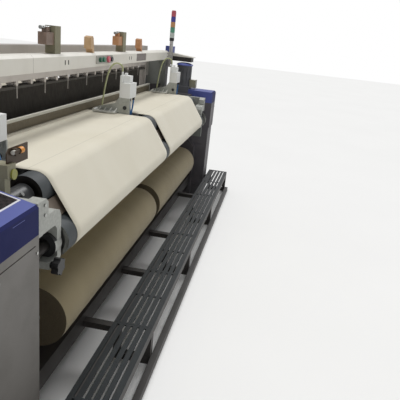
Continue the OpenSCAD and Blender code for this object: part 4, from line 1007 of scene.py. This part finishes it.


# Footboard. Pressed steel deck plates with rows of slots in blue-grey tread paint, on a welded frame of
# brown-black angle. The paint is drawn near black as painted shadow of the loom, and is a little paler where
# feet have rubbed it.
shadowed_tread_paint, tree, shader = new_material("worn_shadowed_tread_paint")
scuff = noise_of(tree, 45, 10, (0.5, 2, 1))
worn = add(tree, "ShaderNodeMapRange", {"Value": scuff, "From Min": 0.4, "From Max": 0.8, "To Max": 0.8})
# The near-black blue-grey is painted shadow of the loom; the worn mask lightens it where feet rubbed
shade_between(tree, shader, "#1B2023", "#272D30", worn.outputs["Result"])
fill(shader, {"Specular IOR Level": 0.3})
rough_between(tree, shader, 0.45, 0.65, scuff)
raise_by(tree, shader, noise_of(tree, 3.3, 4), 0.3, 0.0008)
dress("footboard_deck", shadowed_tread_paint)
dress("footboard_frame", beam_black)


# Drives. Motors in ribbed castings, a flat belt of black rubber, and the right-hand shelf with its boxes.
# The upright motor has a domed blue cap of sheet metal and a khaki terminal box.
motor_grey = machine_enamel("enamel_motor_grey", "#68696D", "#4A4B4E", 0.6)
belt_rubber, tree, shader = new_material("flat_belt_rubber")
# Belt rubber gives the eye a dull black with dust in its grain
shade_between(tree, shader, "#1B1B1C", "#303031", noise_of(tree, 12, 4))
fill(shader, {"Roughness": 0.7})
raise_by(tree, shader, noise_of(tree, 2, 2), 0.3, 0.0005)
dress("main_motor", motor_grey)
dress("drive_belt", belt_rubber)


shelf_z = (1.3072, 1.3425)
cap_z, terminal_y, terminal_z = 1.2335, -0.5605, (1.033, 1.1115)


def shelf_rule(place, normal):
    """Dark box below, cream shelf, and the blue relay box on top."""
    return 2 if place.z > shelf_z[1] else int(place.z < shelf_z[0])


def fan_rule(place, normal):
    """Blue cap on top, khaki terminal box in front, grey motor and housing."""
    if place.z > cap_z:
        return 1
    return 2 if place.y < terminal_y and inside(place.z, terminal_z) else 0


cap_blue = machine_enamel("enamel_cap_blue", "#6670B4", "#525A98", 0.3, (0.35, 0.5))
dress("fan_motor", motor_grey, cap_blue, post_khaki, rule=fan_rule)
dress("right_shelf", cream_enamel, beam_black, cover_blue, rule=shelf_rule)


# Small units by the cloth. White tuck-in housings with black push-in fittings, and a black star knob.
# A blued screw holds each side plate; its round head sits on both faces of the 8 mm plate.
unit_white = machine_enamel("enamel_unit_white", "#F0F1EF", "#D6D7D4", 0.3)
fitting_black = moulded_plastic("moulded_black", "#141414", "#262626")
dress("tuck_in_units", unit_white, fitting_black, rule=lambda place, normal: int(place.z < unit_z - 0.0002))
dress("clamp_handle", fitting_black)
screw_axis = (-0.484, 1.038)
shank_r, head_r, centre_r = 0.0088, 0.012, 0.0006
for number, (unit_x, side) in enumerate(unit_places):
    head_0, face_0, face_1, head_1 = [unit_x + side * d for d in (-0.004, 0.0, 0.008, 0.012)]
    ring = [
        (head_0, centre_r), (head_0, head_r), (face_0, head_r), (face_0, shank_r), (face_1, shank_r),
        (face_1, head_r), (head_1, head_r), (head_1, centre_r), (head_0, centre_r),
    ]
    screw = lathe(f"side_plate_screw_{number}", ring, screw_axis, bush_steel, 24)
    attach(screw, "loom")


# Edge sensor. A light probe with an orange tip on a brown plate, over a khaki housing with a
# yellow-green cap that faces the weaver.
probe_pale = moulded_plastic("moulded_pale_grey", "#B5B2A8", "#CFCCC2")
probe_orange = moulded_plastic("moulded_orange", "#D07E1E", "#EBA347")
plate_brown = machine_enamel("enamel_dark_brown", "#4A3B2C", "#352B22", 0.5)
cap_green = moulded_plastic("moulded_yellow_green", "#8A8A3E", "#A3A352")
tip_x, ring_x, probe_y, probe_z = -1.5245, -1.5485, -0.6403, 1.0985


def sensor_rule(place, normal):
    """The probe's orange tip, brown ring and pale rest, then the plate, and the cap on the housing."""
    if place.z > probe_z and place.y < probe_y:
        return 2 if place.x > tip_x else 3 if place.x > ring_x else 1
    if place.z > 1.0695 and place.y < -0.6355:
        return 3 if place.x > -1.5755 and (place.y > -0.6405 or place.z > 1.0805) else 0
    return 4 if place.y < -0.6502 and place.z < 1.065 else 0


dress("edge_sensor", post_khaki, probe_pale, probe_orange, plate_brown, cap_green, rule=sensor_rule)


# Signal lamps. Five stacked lenses of tinted acrylic over a black collar on a light alloy pole.
# From the top they are red, blue, orange, green and clear.
lens, tree, shader = new_material("tinted_acrylic_lens")
# Ribbed acrylic gives the eye clear colours with a hard gloss
collar_z, low_lens_z, top_lens_z = 1.4375, 1.464, 1.694
height = add(tree, "ShaderNodeSeparateXYZ", {"Vector": own_place(tree)}).outputs["Z"]
step = add(tree, "ShaderNodeMapRange", {"Value": height, "From Min": low_lens_z, "From Max": top_lens_z})
bands = add(tree, "ShaderNodeValToRGB", {"Fac": step.outputs["Result"]})
bands.color_ramp.interpolation = "CONSTANT"
lens_colours = ["#C9D2CC", "#5FA287", "#CF9A6A", "#4A48A0", "#C8606E"]
ramp = bands.color_ramp.elements
while len(ramp) < len(lens_colours):
    ramp.new(0.5)
for k, colour in enumerate(lens_colours):
    ramp[k].position = k / len(lens_colours)
    ramp[k].color = hex_colour(colour)
fill(shader, {"Base Color": bands.outputs["Color"], "Roughness": 0.2, "Coat Weight": 0.5})
raise_by(tree, shader, noise_of(tree, 5, 1), 0.1, 0.0005)
dress("signal_lamps", lens)
pole_alloy = turned_steel("anodised_pole", "#B0AEAC", "#D0CECC", (0.4, 0.55), (30, 30, 1))
collar_black = moulded_plastic("moulded_collar_black", "#1A1A1A", "#2A2A2A")
dress("signal_pole", pole_alloy, collar_black, rule=lambda place, normal: int(place.z > collar_z))
